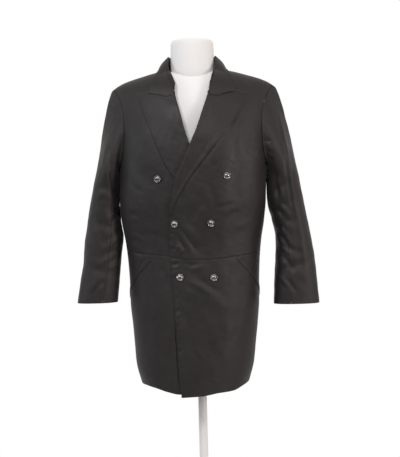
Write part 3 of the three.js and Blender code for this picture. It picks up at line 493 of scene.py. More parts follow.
# The side seam's angle: at 90 up to the armpit, then along the armhole's edge.
def sideAngle(edge, height):
    return np.where(height <= armpitZ, 90, edge(np.maximum(height - armpitZ, 0))) - seamTurn


overlap = {"side": (58, 118), "top": (1235, 1330), "lift": (2.9, 5.4), "waist": (925, 1010)}


# How far the top front lies over the other front, and over its lapel above the waist.
def overlapLift(x, z):
    over = (1 - smoothstep(*overlap["side"], x)) * (1 - smoothstep(*overlap["top"], z))
    return over * lerp(*overlap["lift"], smoothstep(*overlap["waist"], z))


def noLift(x, z):
    return 0 * x


nearEdge = np.array([0, 0.12, 0.4, 0.85, 1.5])
grain = {"across": 2.7, "up": 2.9, "backAcross": 3.6, "backUp": 4}
# About how wide and long the panels are, to space their grids.
panelSettings = {"frontWide": 265, "bodiceLow": 260, "skirtLong": 365, "backWide": 215, "backLow": 618}


# Rows of a panel: shares of the way from its lowest height to the armpit, then lengths up to its top.
def panelRows(lowLength, step):
    low = np.concatenate([nearEdge[:-1], np.linspace(1.5, lowLength, int(lowLength / step))]) / lowLength
    topUp = upperLength - 0.25
    up = np.concatenate([np.linspace(0, topUp - 1.5, int(topUp / step))[1:], topUp - nearEdge[-2::-1]])
    share = np.concatenate([low, np.ones(len(up))])
    return share[:, None], np.concatenate([np.zeros(len(low)), up])[:, None]


# Points of a panel between two edges, lifted off the body along its normals.
def panelGrid(start, end, heightAt, columns, lift, rows):
    low, high = np.zeros((rows, 1)), np.zeros((rows, 1))
    for _ in range(3):
        low, high = start(heightAt(low)), end(heightAt(high))
    angle = lerp(low, high, columns[None, :])
    points = bodyPoint(angle, heightAt(angle))
    return points + gridNormals(points) * lift(points[..., 0], points[..., 2])[..., None]


# Height or depth in millimetres beside a seam: pressed down on it, and puckered by its stitches.
def seamRelief(away, along, seed, deep=0.35, pucker=0.22):
    wave = np.sin(along * 2 * np.pi / 17 + 1.6 * uneven(along, 0 * along, 70, seed))
    press = -deep * np.exp(-((away / 2.2) ** 2)) + 0.5 * deep * np.exp(-(((away - 5) / 3) ** 2))
    strong = np.clip(uneven(along, 0 * along, 160, seed + 1) + 0.5, 0, 1)
    return press + pucker * wave * np.exp(-away / 7) * strong


def leftSide(height):
    return sideAngle(armholeFront, height)


def rightSide(height):
    return -sideAngle(armholeFront, height)


# Height of the waist seam over the angle; the side is 1 above the seam's gap and -1 below it.
def waistHeight(angle, side):
    return waistSeam(bodyWidth(angle)) + side * seam / 2


waistZ = 905


# x of the waist's ring over the angle, without folds.
def bodyWidth(angle):
    s, c = np.sin(np.radians(angle)), np.cos(np.radians(angle))
    deep = np.where(c > 0, ringFront(waistZ), ringBack(waistZ))
    square = ringSquare(waistZ)
    reach = (np.abs(s / ringHalf(waistZ)) ** square + np.abs(c / deep) ** square) ** (-1 / square)
    return ringCentre(waistZ) + reach * s


# Heights over a bodice: level shares from the waist seam to the armpit, then lengths up the dome.
def bodiceHeights(lowest, lowLength, step):
    share, up = panelRows(lowLength, step)
    return lambda angle: np.where(up > 0, armpitZ + up, lerp(lowest(angle), armpitZ, share)), len(share)


leftHem = table(["x", "z"], [[-60, 518.5], [0, 522], [50, 529], [88, 531], [120, 541], [137, 547]])
rightHem = table(["x", "z"], [[-155, 547], [-128, 542], [-99, 534], [-60, 527], [30, 527]])


# Height of a hem over the angle, held level past the ends of its table.
def hemHeight(hem, angle):
    x = bodyPoint(angle, backHemZ)[..., 0]
    return follow(hem, "x", "z")(np.clip(x, hem["x"][0], hem["x"][-1]))


# Heights over a skirt: level shares from the hem to the waist seam.
def skirtHeights(hem, step):
    share = edged(panelSettings["skirtLong"], step)[:, None]
    return lambda angle: lerp(hemHeight(hem, angle), waistHeight(angle, -1), share), len(share)


# A grid with the relief of its sewn edges; each edge has its depth and its pucker.
def relieved(points, seamsAt, seed, facing=1):
    away = dict(zip(["left", "right", "low", "high"], edgeDistances(points)))
    along = {"left": "low", "right": "low", "low": "left", "high": "left"}
    relief = 0
    for k, (at, how) in enumerate(seamsAt.items()):
        relief = relief + seamRelief(away[at], away[along[at]], seed + k, *how)
    return points + facing * gridNormals(points) * relief[..., None]


pieces = {}
surfaces = {}


def addShell(name, points, thick, facing=1):
    normals = facing * gridNormals(points)
    surfaces[name] = points, normals
    pieces[name] = shell(name, points, normals, thick)


sewn = (0.25, 0.2)  # how deep a seam is pressed, and how strongly it puckers
stitched = (0.3, 0.9)


# The four front panels: between the front edge and the side seam, above and below the waist seam.
def makeFronts():
    columns = edged(panelSettings["frontWide"], grain["across"])
    lowest = lambda angle: waistHeight(angle, 1)
    heights, rows = bodiceHeights(lowest, panelSettings["bodiceLow"], grain["up"])
    left = panelGrid(leftFrontEdge, leftSide, heights, columns, overlapLift, rows)
    left = relieved(left, {"left": stitched, "right": sewn, "low": sewn, "high": sewn}, 10)
    addShell("front_left_bodice", left, clothThick)
    right = panelGrid(rightSide, rightFrontEdge, heights, columns, noLift, rows)
    addShell("front_right_bodice", relieved(right, {"left": sewn, "low": sewn, "high": sewn}, 20), clothThick)
    heights, rows = skirtHeights(leftHem, grain["up"])
    left = panelGrid(leftFrontEdge, leftSide, heights, columns, overlapLift, rows)
    left = relieved(left, {"left": stitched, "right": sewn, "high": sewn}, 30)
    addShell("front_left_skirt", left, clothThick)
    heights, rows = skirtHeights(rightHem, grain["up"])
    right = panelGrid(rightSide, rightFrontEdge, heights, columns, noLift, rows)
    addShell("front_right_skirt", relieved(right, {"left": sewn, "high": sewn}, 40), clothThick)


# The two back panels: from the side seam to the centre back seam, shortened under the collar by the neck.
def makeBacks():
    share, up = panelRows(panelSettings["backLow"], grain["backUp"])

    def heights(angle):
        height = np.where(up > 0, armpitZ + up, lerp(backHemZ, armpitZ, share))
        s, c = np.sin(np.radians(angle)), np.cos(np.radians(angle))
        square = ringSquare(armpitZ)
        reach = np.abs(s / ringHalf(armpitZ)) ** square + np.abs(c / ringBack(armpitZ)) ** square
        reach = reach ** (-1 / square)
        away = np.abs(reach * s * (1 + shoulderSpread))
        shorter = np.where(away > neckReach, 0, backNeck(away)) * up / upperLength
        return height - np.where(up > 0, shorter, 0)

    columns = edged(panelSettings["backWide"], grain["backAcross"])
    rows = len(share)
    side = lambda height: 180 - sideAngle(armholeBack, height)
    centre = lambda height: 180 - seamTurn + 0 * height
    left = panelGrid(side, centre, heights, columns, noLift, rows)
    addShell("back_left", relieved(left, {"left": sewn, "right": sewn, "high": sewn}, 50), clothThick)
    right = panelGrid(lambda h: 360 - centre(h), lambda h: 360 - side(h), heights, columns, noLift, rows)
    addShell("back_right", relieved(right, {"left": sewn, "right": sewn, "high": sewn}, 60), clothThick)


makeFronts()
makeBacks()
print("fronts and backs made")

lapelSettings = {
    "clear": 0.85, "roll": 4.5, "rollStarts": 80, "rollEnds": (1310, 1362), "curl": 165, "edgeStand": 1.3,
    "edgeStandStarts": (1035, 1090), "across": 2.4, "up": 2.6,
}
lapelShapes = {
    "left": {
        "soft": 1050,
        "roll": table(["x", "z"], [
            [-78, 1024], [-72, 1066], [-62, 1112], [-43.5, 1157], [-24, 1204], [2, 1262], [17.5, 1306],
            [37, 1362],
        ]),
        "edge": table(["x", "z"], [
            [-76, 1022], [-57, 1066], [-43, 1090], [-26, 1118], [9, 1164], [45, 1209], [76, 1247],
            [105, 1286], [144, 1362],
        ]),
        "top": table(["x", "z"], [
            [37, 1362], [48, 1358], [61, 1355], [85, 1361], [109, 1366], [118, 1363], [144, 1362],
        ]),
    },
    "right": {
        "soft": 1225,
        "roll": table(["x", "z"], [
            [49, 1024], [39, 1072], [26, 1104], [11, 1144], [-7, 1190], [-23, 1232], [-40, 1304], [-55, 1362],
        ]),
        "edge": table(["x", "z"], [
            [44, 1022], [8, 1064], [-30, 1098], [-61, 1128], [-85, 1166], [-100, 1202], [-133, 1290],
            [-157, 1362],
        ]),
        "top": table(["x", "z"], [
            [-55, 1362], [-66, 1358], [-79, 1355], [-103, 1361], [-126, 1366], [-135, 1363], [-157, 1362],
        ]),
    },
}


# Points at places in front view, lifted off the body along its normals.
def atFront(x, z, lift):
    angle, height = bodySpot(x, z)
    return bodyPoint(angle, height) + bodyNormal(angle, height) * np.asarray(lift)[..., None]


# Front view places over a lapel: across from the roll line to the edge, and up from the break to the top.
def lapelPlaces(shape, u, v):
    (rx, rz), (ex, ez) = route(shape["roll"], "x", "z")(v), route(shape["edge"], "x", "z")(v)
    (cx, cz), (dx, dz) = route(shape["roll"], "x", "z")(1.0), route(shape["edge"], "x", "z")(1.0)
    tx, tz = route(shape["top"], "x", "z")(u)
    x = lerp(rx, ex, u) + v**6 * (tx - lerp(cx, dx, u))
    return x, lerp(rz, ez, u) + v**6 * (tz - lerp(cz, dz, u))


# A lapel: its cloth over the front, and the roll that turns back under it along the roll line.
def makeLapel(side, base):
    shape = lapelShapes[side]
    u = edged(120, lapelSettings["across"])[None, :]
    v = edged(350, lapelSettings["up"])[:, None]
    x, z = lapelPlaces(shape, u, v)
    stand = lapelSettings["roll"] * smoothstep(shape["soft"], shape["soft"] + lapelSettings["rollStarts"], z)
    stand = stand * (1 - smoothstep(*lapelSettings["rollEnds"], z))
    lift = base(x, z) + lapelSettings["clear"] + lapelThick + stand * (1 - u) ** 2
    atEdge = smoothstep(0.75, 1, u) * smoothstep(*lapelSettings["edgeStandStarts"], z)
    lift = lift + lapelSettings["edgeStand"] * atEdge
    points = atFront(x, z, lift)
    facing = 1 if side == "left" else -1
    rollX, rollZ = x[:, :1], z[:, :1]
    angle, height = bodySpot(rollX, rollZ)
    normal = bodyNormal(angle, height)
    radius = (lapelSettings["clear"] + lapelThick + clothThick + stand[:, :1]) / 2
    across = unit(points[:, 3:4] - points[:, 0:1])
    across = unit(across - normal * (across * normal).sum(-1, keepdims=True))
    turned = np.radians(np.linspace(lapelSettings["curl"], 0, 12)[:-1])[None, :, None]
    points = points + (across * radius[..., None]) * (1 - u[..., None]) ** 3
    centre = points[:, :1] - normal * radius[..., None]
    curl = centre + radius[..., None] * (normal * np.cos(turned) - across * np.sin(turned))
    grid = np.concatenate([curl, points], 1)
    grid = relieved(grid, {"right": (0.25, 0.1), "high": (0.3, 0.12)}, 70)
    addShell(f"lapel_{side}", grid, lapelThick, facing)


makeLapel("left", overlapLift)
makeLapel("right", noLift)

collarSettings = {
    "centre": -5, "turn": 2.2, "belly": 5, "clear": 0.9, "edgeStand": 1.2, "step": 2.5, "long": 600,
}
collarFold = table(["x", "y", "z"], [
    [0, 74, 1484], [38, 65, 1486], [62, 38, 1488], [69, 6, 1486], [67, -20, 1466], [59, -52, 1422],
    [47, -84, 1374],
])
collarEdge = table(["x", "y", "z"], [
    [0, 90, 1400], [46, 84, 1404], [84, 56, 1422], [97, 4, 1445], [102, -40, 1428], [112, -66, 1401],
    [121, -84, 1369],
])
neckSeam = table(["x", "y", "z"], [
    [0, 67, 1422], [36, 60, 1424], [62, 38, 1436], [72, 6, 1450], [68, -22, 1440], [58, -56, 1402],
    [48, -78, 1372],
])


# Cuts through half the collar, from the middle of the back to the gorge: each one goes up the stand,
# over the fold by a half circle and down the fall, which is a slightly bellied line.
def collarHalf(side, t):
    at = [np.stack(route(line, "x", "y", "z")(t), -1) for line in (neckSeam, collarFold, collarEdge)]
    for line in at:
        line[..., 0] = collarSettings["centre"] + side * line[..., 0]
    if side < 0:
        at[1][..., 0] -= 4 * smoothstep(0.5, 0.7, t) + 4.5 * np.exp(-(((t - 0.84) / 0.09) ** 2))
    seamLine, fold, edge = at
    seamLine[..., 2] = np.maximum(domeZ(seamLine[..., 0], seamLine[..., 1]) + 0.8, seamLine[..., 2] - 30)
    out = fold - np.array([collarSettings["centre"], shoulderY, 0])
    out[..., 2] = 0
    out = unit(out)
    bend = collarSettings["turn"]
    core = fold - np.array([0, 0, bend])
    rows = [lerp(seamLine, core - out * bend, f) for f in edged(40, 4)[:-1]]
    for turned in np.radians(np.linspace(0, 180, 11)):
        rows.append(core - out * bend * math.cos(turned) + np.array([0, 0, bend * math.sin(turned)]))
    start = rows[-1]
    toGorge = smoothstep(0.74, 1, t)[..., None]
    top = route(lapelShapes["left" if side > 0 else "right"]["top"], "x", "z")
    for f in edged(80, collarSettings["step"])[1:]:
        down = lerp(start, edge, f) + out * collarSettings["belly"] * math.sin(math.pi * f)
        x, z = top(0.69 * f)
        rows.append(lerp(down, atFront(x, z + 0.7, 3.2), toGorge))
    bridging = 2.4 * smoothstep(0.5, 0.68, t) * (1 - smoothstep(0.84, 0.96, t))
    edgeStand = collarSettings["edgeStand"] * smoothstep(0.82, 1, np.linspace(0, 1, len(rows)))[:, None]
    return clearOfBody(np.stack(rows), collarSettings["clear"] + lapelThick + bridging[None, :] + edgeStand)


# The whole collar: both halves' cuts side by side, from one gorge over the back to the other.
def makeCollar():
    t = 1 - edged(collarSettings["long"], collarSettings["step"])
    t = t[t >= 0.5] * 2 - 1
    right = collarHalf(-1, t)
    left = collarHalf(1, t[::-1])
    grid = np.concatenate([right, left[:, 1:]], 1)
    grid = relieved(grid, {"left": (0.3, 0.1), "right": (0.3, 0.1), "high": (0.2, 0.1)}, 80)
    addShell("collar", grid, lapelThick)


makeCollar()
print("lapels and collar made")

sleeveSettings = {
    "square": 2.3, "across": 2.9, "up": 2.9, "seamColumns": (4, 20), "capLength": 190, "capSteps": 64,
    "leaveOut": (6, 62), "leaveDown": (28, 118), "aim": 1275, "seamGap": 0.1,
}
sleeveShapes = {
    "left": table(["z", "inner", "outer", "y", "depth"], [
        [1120, 202, 297, 4, 68],
        [1067, 201.6, 306, 3, 64],
        [1010, 213, 316, 1, 60],
        [951, 223, 326, -4, 57],
        [893, 221, 334, -11, 54],
        [836, 216, 338, -19, 50],
        [765, 212, 342, -29, 45],
    ]),
    "right": table(["z", "inner", "outer", "y", "depth"], [
        [1120, 223.5, 298, 4, 72],
        [1067, 225.4, 309, 3, 68],
        [1010, 221.4, 319, 1, 62],
        [972, 215.4, 325.5, -2, 59.5],
        [951, 217.5, 329, -4, 58],
        [893, 225, 333, -11, 54],
        [836, 230, 343, -19, 50],
        [781, 236, 351, -28, 45],
    ]),
}
# Folds round a sleeve: angle from the body side over the front, height, slant, width, length and depth.
sleeveFolds = [
    [60, 1090, 0.5, 12, 45, -3.2],
    [45, 1035, 0.4, 12, 50, -3.4],
    [42, 985, 0.35, 11, 50, -3.0],
    [50, 925, -0.3, 12, 45, -2.8],
    [70, 870, 0.25, 13, 50, -2.4],
    [300, 1080, -0.4, 13, 50, -3.0],
    [310, 1000, -0.3, 13, 50, -3.0],
    [300, 900, 0.3, 14, 50, -2.4],
]
# Creases of a sleeve in front view, and in back view where their points have y to the back.
sleeveCreases = {
    "left": [
        [
            3.8, 4.2, 1, (240, 1326), (246, 1290), (252, 1240), (259, 1180), (266, 1120), (275, 1050),
            (283, 990),
        ],
        [-1.8, 5, 1, (190, 1229), (216, 1226)],
        [-2.0, 5, -1, (194, 1188), (217, 1170)],
        [1.4, 5, 1, (196, 1213), (218, 1202)],
        [-3.4, 10, 1, (214, 1165), (225, 1103), (239, 1042)],
        [1.4, 6, -1, (226, 1135), (236, 1090), (246, 1050)],
        [-2.6, 7, 1, (222, 1043), (242, 1017), (260, 990)],
        [1.3, 6, -1, (230, 1052), (248, 1032), (262, 1008)],
        [-2.6, 7, 1, (222, 980), (246, 946), (267, 908)],
        [1.4, 6, 1, (224, 932), (244, 920), (262, 902)],
        [-2.4, 7, 1, (232, 908), (253, 883), (271, 850)],
        [1.4, 6, 1, (222, 845), (240, 829), (256, 810)],
        [-1.9, 6, 1, (246, 840), (260, 818), (275, 794)],
        [1.4, 6, -1, (228, 990), (249, 957), (264, 922)],
        [2.2, 9, 1, (281, 1062), (295, 945), (304, 828)],
        [-1.8, 8, 1, (262, 1260), (272, 1190), (284, 1120)],
    ],
    "right": [
        [-2.0, 5, 1, (-250, 1348), (-230, 1328), (-216, 1304)],
        [1.4, 5, 1, (-240, 1350), (-222, 1336), (-212, 1318)],
        [-3.0, 6, 1, (-246, 1262), (-243, 1172), (-238, 1110), (-230, 1040)],
        [1.8, 6, -1, (-230, 1180), (-225, 1135), (-224, 1095)],
        [1.5, 8, 1, (-262, 1250), (-262, 1180), (-256, 1110)],
        [-1.5, 11, 1, (-292, 1064), (-262, 1073), (-238, 1040)],
        [0.8, 10, -1, (-290, 1084), (-258, 1092), (-240, 1066)],
        [-2.2, 5, 1, (-240, 1056), (-227, 1029), (-214, 1004)],
        [1.8, 5, -1, (-232, 1062), (-220, 1038), (-210, 1018)],
        [0.8, 7, 1, (-272, 892), (-250, 913), (-228, 934)],
        [-1.2, 8, 1, (-276, 876), (-250, 896), (-226, 916)],
        [-1.6, 6, 1, (-220, 1064), (-232, 1032), (-247, 998)],
        [1.5, 10, 1, (-286, 1036), (-306, 932), (-325, 826)],
        [1.0, 7, -1, (-226, 966), (-255, 942), (-276, 930)],
        [-1.1, 7, 1, (-216, 995), (-240, 970), (-262, 957)],
        [-1.2, 7, 1, (-262, 850), (-284, 832), (-300, 800)],
        [1.0, 7, 1, (-300, 1000), (-286, 960), (-282, 930)],
    ],
    "behind": [
        [-2.2, 8, 1, (218, 1130), (246, 1098), (280, 1080)],
        [1.8, 7, -1, (222, 1160), (248, 1130), (276, 1116)],
        [-2.4, 8, 1, (228, 1010), (262, 985), (300, 985)],
        [2.0, 8, 1, (232, 972), (268, 955), (304, 962)],
        [-2.0, 8, -1, (240, 930), (268, 905), (306, 902)],
        [1.5, 8, 1, (250, 860), (276, 842), (312, 846)],
        [1.5, 10, 1, (262, 1290), (272, 1210), (286, 1130)],
    ],
}


# Points of a sleeve below the armpit: superellipse rings between its inner and outer line, with its folds.
def sleeveRing(shape, side, z, turn):
    inner, outer, y, depth = [follow(shape, "z", name)(z) for name in ("inner", "outer", "y", "depth")]
    c, s = np.cos(np.radians(turn)), np.sin(np.radians(turn))
    square = sleeveSettings["square"]
    half = (outer - inner) / 2
    reach = (np.abs(c / half) ** square + np.abs(s / depth) ** square) ** (-1 / square)
    for at, height, slant, wide, long, high in sleeveFolds:
        around = (turn - at + 180) % 360 - 180
        across = (z - height - slant * around) / wide
        reach = reach + high * np.exp(-(across**2) - (around / long) ** 2)
    x = side * ((inner + outer) / 2 - reach * c)
    return np.stack(np.broadcast_arrays(x, y - reach * s, z), -1)


# The armhole's loop over its column: from the armpit up the front edge, where 12 is the top,
# and down the back edge to the armpit again at 24.
def armholeLoop(side, column):
    steps = table(["column", "up"], [[i, up] for i, up in enumerate(armhole["up"])])
    up = follow(steps, "column", "up")(12 - np.abs(12 - column))
    angle = np.where(column <= 12, armholeFront(up), 180 - armholeBack(up))
    points = bodyPoint(side * angle, armpitZ + up)
    normals = bodyNormal(side * angle, armpitZ + up)
    return points, normals


# A sleeve's two pieces: a cap that leaves the armhole outwards and bends down into the rings by cubic curves,
# then the rings down to the cuff, with the creases added along the normals.
def makeSleeve(name):
    side = 1 if name == "left" else -1
    shape = sleeveShapes[name]
    fine = np.linspace(0, 24, 481)
    rim, _ = armholeLoop(side, fine)
    arc = np.concatenate([[0], np.cumsum(np.linalg.norm(np.diff(rim, axis=0), axis=1))])
    half = arc[240]
    turnAt = np.where(arc <= half, 180 * arc / half, 180 + 180 * (arc - half) / (arc[-1] - half))
    seams = np.interp(sleeveSettings["seamColumns"], fine, turnAt)
    rings = {"top": (seams[0], seams[1]), "under": (seams[1] - 360, seams[0])}
    for piece, (first, last) in rings.items():
        width = (last - first) * 0.95
        gap = sleeveSettings["seamGap"]
        turn = lerp(first + gap, last - gap, edged(width, sleeveSettings["across"]))[None, :]
        column = np.interp(turn % 360, turnAt, fine)
        points, normals = armholeLoop(side, column)
        ahead, _ = armholeLoop(side, (column + 0.02) % 24)
        into = unit(np.cross(ahead - points, normals))
        armholeMiddle = np.array([side * 208, 0, sleeveSettings["aim"]])
        flip = (into * (armholeMiddle - points)).sum(-1, keepdims=True) < 0
        into = np.where(flip, -into, into)
        bicepZ, cuffZ = shape["z"][0], shape["z"][-1]
        ring = sleeveRing(shape, side, bicepZ, turn)
        below = (sleeveRing(shape, side, bicepZ - 10, turn) - ring) * 0.1
        high = np.clip((points[..., 2:] - armpitZ) / 225, 0, 1)
        out, down = lerp(*sleeveSettings["leaveOut"], high**0.5), lerp(*sleeveSettings["leaveDown"], high)
        leave = np.concatenate([side * out, 0 * high, -down], -1)
        start = points + into * 0.6 * seam + normals * seam * (1 - smoothstep(0, 0.12, high))
        reachDown = np.linalg.norm(points - ring, axis=-1, keepdims=True) * 1.15
        long = sleeveSettings["capLength"]
        steps = np.linspace(nearEdge[-1], long, sleeveSettings["capSteps"])[:-1]
        s = (np.concatenate([nearEdge[:-1], steps]) / long)[:, None, None]
        cap = start * (2 * s**3 - 3 * s**2 + 1) + leave * (s**3 - 2 * s**2 + s)
        cap = cap + ring * (3 * s**2 - 2 * s**3) + below * (s**3 - s**2) * reachDown
        rows = int((bicepZ - cuffZ) / sleeveSettings["up"])
        z = np.concatenate([np.linspace(bicepZ, cuffZ + 1.5, rows), cuffZ + nearEdge[-2::-1]])[:, None]
        grid = np.concatenate([cap, sleeveRing(shape, side, z, turn)])
        facing = -side
        normal = facing * gridNormals(grid)
        px, pz = grid[..., 0], grid[..., 2]
        relief = creaseDepth(sleeveCreases[name], px, pz) * smoothstep(0.05, 0.4, -normal[..., 1])
        relief += creaseDepth(sleeveCreases["behind"], side * px, pz) * smoothstep(0.05, 0.4, normal[..., 1])
        girth = turn * 1.2 + 0 * pz
        relief += 0.4 * uneven(girth, pz, 60, 5 + side) + 0.25 * uneven(girth, pz, 27, 9 + side)
        inset = smoothstep(0, 25, 1120 - pz) + smoothstep(0, 0.12, np.linspace(0, 1, len(grid)))[:, None]
        grid = grid + normal * (relief * np.minimum(inset, 1))[..., None]
        sewnAt = {"left": (0.2, 0.1), "right": (0.2, 0.1), "low": (0.35, 0.25)}
        grid = relieved(grid, sewnAt, 90, facing)
        normal = facing * gridNormals(grid)
        inward = np.maximum((normal[:1] * into).sum(-1, keepdims=True), 0)
        blendRows = np.exp(-np.arange(len(grid)) / 3)[:, None, None]
        normal = unit(normal - into * inward * blendRows)
        surfaces[f"sleeve_{name}_{piece}"] = grid, normal
        pieces[f"sleeve_{name}_{piece}"] = shell(f"sleeve_{name}_{piece}", grid, normal, clothThick)


makeSleeve("left")
makeSleeve("right")
print("sleeves made")

# The last value is about how many millimetres a degree of the body is.
weltSettings = {"wide": 13, "long": 160, "thick": 1.0, "clear": 0.45, "degree": 3.1}
pockets = {"left": [50, 898, 87, 788], "right": [-50, 900, -87, 790]}


# A welt: a slanted strip on the body's surface, lifted over the front below it.
def makeWelt(side):
    angle1, z1, angle2, z2 = pockets[side]
    slant = math.atan2(z1 - z2, abs(angle2 - angle1) * weltSettings["degree"])
    outward = weltSettings["wide"] * math.sin(slant) * np.sign(angle2) / weltSettings["degree"]
    v = edged(weltSettings["long"], 2.5)[:, None]
    u = edged(weltSettings["wide"], 1.2)[None, :]
    angle = lerp(angle2, angle1, v) + outward * u
    z = lerp(z2, z1, v) + weltSettings["wide"] * u * math.cos(slant)
    points = bodyPoint(angle, z)
    lift = (overlapLift if side == "left" else noLift)(points[..., 0], z)
    normals = bodyNormal(angle, z)
    points = points + normals * (lift + weltSettings["clear"] + weltSettings["thick"])[..., None]
    flip = (gridNormals(points) * normals).sum() < 0
    addShell(f"pocket_welt_{side}", points, weltSettings["thick"], -1 if flip else 1)


makeWelt("left")
makeWelt("right")

buttonSettings = {"seat": 0.6, "segments": 56}
buttonPlaces = {
    "top_left": (82.5, 1129), "top_right": (-108.5, 1125), "middle_left": (35.5, 999.5),
    "middle_right": (-64, 999.5), "bottom_left": (40, 848), "bottom_right": (-53, 851),
}
# Half section of a button from its back's centre round to its front's centre: radius and height.
buttonProfile = [
    (0, 0), (2.6, 0), (2.6, 1.6), (8.6, 1.6), (9.3, 1.75), (9.85, 2.2), (10, 2.8), (9.9, 3.5), (9.5, 4.05),
    (8.9, 4.3), (8.3, 4.15), (7.8, 3.7), (7.4, 3.45), (7.0, 3.4), (6.5, 3.5), (6.2, 3.75), (5.6, 4.3),
    (4.7, 4.85), (3.6, 5.3), (2.4, 5.6), (1.2, 5.76), (0, 5.8),
]


# A closed surface turned about an axis through its base: quads between rings, and a fan at each end.
def latheMesh(profile, segments, base, axis):
    profile = np.array(profile, float)
    base, axis = np.asarray(base, float), unit(np.asarray(axis, float))
    side = unit(np.cross(axis, [0.0, 0.2, 1.0] if abs(axis[2]) < 0.9 else [1.0, 0.0, 0.0]))
    other = np.cross(axis, side)
    turn = np.linspace(0, 2 * np.pi, segments, endpoint=False)[:, None]
    around = side * np.cos(turn) + other * np.sin(turn)
    inner = profile[1:-1]
    points = (base + axis * inner[:, 1:])[:, None, :] + around[None] * inner[:, :1, None]
    count = len(inner)
    index = np.arange(count * segments).reshape(count, segments)
    after = np.roll(index, -1, 1)
    quads = np.stack([index[:-1], after[:-1], after[1:], index[1:]], -1).reshape(-1, 4)
    ends = [base + axis * profile[0, 1], base + axis * profile[-1, 1]]
    foot = np.full(segments, count * segments)
    low = np.stack([foot, after[0], index[0]], -1)
    high = np.stack([foot + 1, index[-1], after[-1]], -1)
    return np.concatenate([points.reshape(-1, 3), ends]), quads, np.concatenate([low, high])


def latheObject(name, profile, segments, base, axis):
    points, quads, fans = latheMesh(profile, segments, base, axis)
    return makeObject(name, points, [quads, fans])


for key, (x, z) in buttonPlaces.items():
    lift = 0 if key == "top_right" else overlapLift(x, z)
    angle, height = bodySpot(x, z)
    normal = bodyNormal(angle, height)
    base = bodyPoint(angle, height) + normal * (lift + buttonSettings["seat"])
    name = f"button_{key}"
    pieces[name] = latheObject(name, buttonProfile, buttonSettings["segments"], base, normal)
print("welts and buttons made")

stitchSettings = {"long": 3.0, "pitch": 4.3, "half": 0.34, "lift": 0.14}


# The line on a piece's surface that runs along one of its edges, some way in from it.
def besideEdge(name, edge, away):
    points, normals = surfaces[name]
    if edge in ("low", "high"):
        points, normals = points.swapaxes(0, 1), normals.swapaxes(0, 1)
    if edge in ("left", "low"):
        points, normals = points[:, ::-1], normals[:, ::-1]
    steps = np.linalg.norm(np.diff(points, axis=1), axis=-1)
    left = np.cumsum(np.concatenate([np.zeros((len(steps), 1)), steps[:, ::-1]], 1), 1)[:, ::-1]
    row = np.arange(len(points))
    at = np.clip((left >= away).sum(1) - 1, 0, left.shape[1] - 2)
    share = ((left[row, at] - away) / (left[row, at] - left[row, at + 1]))[:, None]
    return lerp(points[row, at], points[row, at + 1], share), normals[row, at]


# A buttonhole's loop on the top front, from just inside the button out towards the side.
def buttonhole(key):
    turn = np.linspace(0, 2 * np.pi, 60)
    x = buttonPlaces[key][0] + 6 + 12.5 * np.cos(turn)
    z = buttonPlaces[key][1] + 1.5 * np.sin(turn)
    angle, height = bodySpot(x, z)
    return atFront(x, z, overlapLift(x, z) + 0.2), bodyNormal(angle, height)


# All sewn thread in one piece: a small pointed bar for each stitch along each line.
def makeStitches(lines):
    groups = []
    for (points, normals), pitch in lines:
        arc = np.concatenate([[0], np.cumsum(np.linalg.norm(np.diff(points, axis=0), axis=1))])
        at = np.arange(pitch, arc[-1] - pitch, pitch)
        middle, ahead, up = [
            np.stack([np.interp(where, arc, source[:, k]) for k in range(3)], -1)
            for where, source in ((at, points), (at + 0.6, points), (at, normals))
        ]
        way = unit(ahead - middle)
        up = unit(up - way * (up * way).sum(-1, keepdims=True))
        middle = middle + up * stitchSettings["lift"]
        long = way * stitchSettings["long"] / 2 * pitch / stitchSettings["pitch"]
        half = stitchSettings["half"]
        side = np.cross(way, up) * half
        ends = [end for reach in (long, side, up * half) for end in (middle - reach, middle + reach)]
        groups.append(np.stack(ends, 1))
    corners = np.concatenate(groups)
    bar = [[0, 2, 5], [2, 1, 5], [1, 3, 5], [3, 0, 5], [2, 0, 4], [1, 2, 4], [3, 1, 4], [0, 3, 4]]
    faces = (np.array(bar)[None] + 6 * np.arange(len(corners))[:, None, None]).reshape(-1, 3)
    pieces["stitches"] = makeObject("stitches", corners.reshape(-1, 3), [faces])


sewnLines = [
    ("front_left_bodice", "left", 7), ("front_left_skirt", "left", 7), ("front_left_skirt", "low", 34),
    ("front_right_skirt", "low", 34), ("back_left", "low", 34), ("back_right", "low", 34),
    ("lapel_left", "right", 6), ("lapel_left", "high", 6), ("lapel_right", "right", 6),
    ("lapel_right", "high", 6), ("collar", "high", 6),
    ("pocket_welt_left", "left", 1.6), ("pocket_welt_left", "right", 1.6),
    ("pocket_welt_right", "left", 1.6), ("pocket_welt_right", "right", 1.6),
]
threadRuns = [(besideEdge(*line), stitchSettings["pitch"]) for line in sewnLines]
threadRuns += [(buttonhole(key), 2.0) for key in ("middle_right", "bottom_right")]
makeStitches(threadRuns)
print("stitches made")

formTable = table(["z", "half", "front", "back"], [
    [700, 140, 92, 100],
    [760, 155, 103, 112],
    [835, 158, 106, 112],
    [900, 146, 98, 96],
    [951, 132, 90, 86],
    [1010, 140, 94, 88],
    [1067, 154, 102, 94],
    [1165, 172, 108, 102],
])
formSettings = {
    "clear": 0.7, "half": 186, "bottom": 700, "around": 144,
    "neckWidening": 1.185, "neckSides": 96, "neckX": -4,
}


